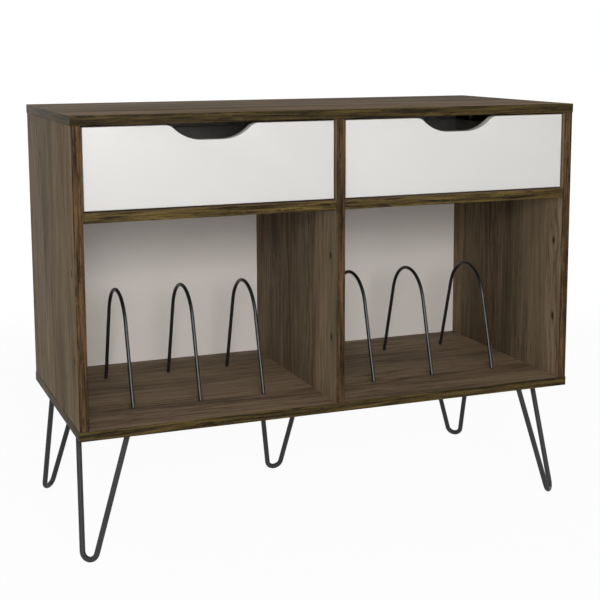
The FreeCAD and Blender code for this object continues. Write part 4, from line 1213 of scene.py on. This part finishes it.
def soft_lamp(name, place, size, power, tint):
    """Hang a soft lamp, facing the middle of the stand."""
    deselect()
    bpy.ops.object.light_add(type="AREA", location=place)
    lamp = just_added(name)
    lamp.data.shape = "RECTANGLE"
    lamp.data.size, lamp.data.size_y = size
    lamp.data.energy = power
    lamp.data.color = tint
    aim = LAMP_AIM - Vector(place)
    lamp.rotation_euler = aim.to_track_quat("-Z", "Y").to_euler()


class STAND_OT_studio(bpy.types.Operator):
    """Set up the floor, the light and the camera"""

    bl_idname = "stand.studio"
    bl_label = "Studio"

    def execute(self, context):
        studio = context.scene.stand_studio
        self.floor()
        self.sky(context, studio)
        for name, (place, size, power, tint) in LAMPS.items():
            soft_lamp(name, place, size, power * studio.lamps, tint)
        self.camera(context, studio)
        context.scene.view_settings.view_transform = "Standard"
        return {"FINISHED"}

    def floor(self):
        """Lay a white floor that keeps the stand's shadow."""
        deselect()
        bpy.ops.mesh.primitive_plane_add(size=FLOOR, location=(0, 0, 0))
        floor = just_added("floor")
        finish = Finish("floor_white")
        finish.paint(Base_Color=(0.9, 0.9, 0.9), Roughness=0.9, Specular_IOR_Level=0.0)
        glow = finish.node("ShaderNodeEmission")
        glow.inputs["Strength"].default_value = FLOOR_GLOW
        far = finish.distance(finish.place)
        share = finish.span(far, FLOOR_NEAR, FLOOR_FAR, FLOOR_SHARE, "SMOOTHSTEP")
        mixed = finish.node("ShaderNodeMixShader")
        finish.put(mixed.inputs[0], finish.calc("MULTIPLY", seen(finish.tree), share))
        finish.put(mixed.inputs[1], finish.shader.outputs[0])
        finish.put(mixed.inputs[2], glow.outputs[0])
        finish.put(finish.output.inputs["Surface"], mixed.outputs[0])
        floor.data.materials.append(finish.material)

    def sky(self, context, studio):
        """Light the stand a little from all round, in a room that looks white."""
        world = bpy.data.worlds.new("white_room")
        context.scene.world = world
        world.use_nodes = True
        tree = world.node_tree
        tree.nodes.clear()
        output = tree.nodes.new("ShaderNodeOutputWorld")
        mixed = tree.nodes.new("ShaderNodeMixShader")
        for index, strength in enumerate((studio.sky, 1.0), start=1):
            light = tree.nodes.new("ShaderNodeBackground")
            light.inputs["Color"].default_value = (1, 1, 1, 1)
            light.inputs["Strength"].default_value = strength
            tree.links.new(light.outputs[0], mixed.inputs[index])
        tree.links.new(seen(tree), mixed.inputs[0])
        tree.links.new(mixed.outputs[0], output.inputs["Surface"])

    def camera(self, context, studio):
        """Set up the camera at the photograph's viewing angle."""
        deselect()
        bpy.ops.object.camera_add()
        camera = just_added("camera")
        camera.data.lens = studio.lens
        camera.data.sensor_width = SENSOR
        camera.data.shift_y = studio.rise
        turn = Matrix.Rotation(-studio.yaw, 4, "Z")
        turn = turn @ Matrix.Rotation(studio.pitch, 4, "X")
        turn = turn @ Matrix.Rotation(studio.roll, 4, "Y")
        upright = Matrix.Rotation(math.radians(90), 4, "X")
        camera.matrix_world = Matrix.Translation(studio.camera) @ turn @ upright
        context.scene.camera = camera


STEPS = (
    STAND_OT_boards,
    STAND_OT_back,
    STAND_OT_drawer_fronts,
    STAND_OT_drawer_boxes,
    STAND_OT_wires,
    STAND_OT_legs,
    STAND_OT_runners,
    STAND_OT_fittings,
    STAND_OT_studio,
)


class STAND_PT_panel(bpy.types.Panel):
    """Lists the steps and settings of the stand"""

    bl_idname = "STAND_PT_panel"
    bl_label = "Turntable stand"
    bl_space_type = "VIEW_3D"
    bl_region_type = "UI"
    bl_category = "Stand"

    def draw(self, context):
        for step in STEPS:
            self.layout.operator(step.bl_idname)
        for name, group in GROUPS.items():
            box = self.layout.box()
            settings = getattr(context.scene, name)
            for prop in group.__annotations__:
                box.prop(settings, prop)


def register():
    for group in GROUPS.values():
        bpy.utils.register_class(group)
    for name, group in GROUPS.items():
        setattr(bpy.types.Scene, name, PointerProperty(type=group))
    for step in STEPS:
        bpy.utils.register_class(step)
    bpy.utils.register_class(STAND_PT_panel)


def unregister():
    bpy.utils.unregister_class(STAND_PT_panel)
    for step in reversed(STEPS):
        bpy.utils.unregister_class(step)
    for name, group in GROUPS.items():
        delattr(bpy.types.Scene, name)
        bpy.utils.unregister_class(group)


def main():
    register()
    bpy.ops.stand.boards()
    bpy.ops.stand.back()
    bpy.ops.stand.drawer_fronts()
    bpy.ops.stand.drawer_boxes()
    bpy.ops.stand.wires()
    bpy.ops.stand.legs()
    bpy.ops.stand.runners()
    bpy.ops.stand.fittings()
    bpy.ops.stand.studio()


if __name__ == "__main__":
    main()
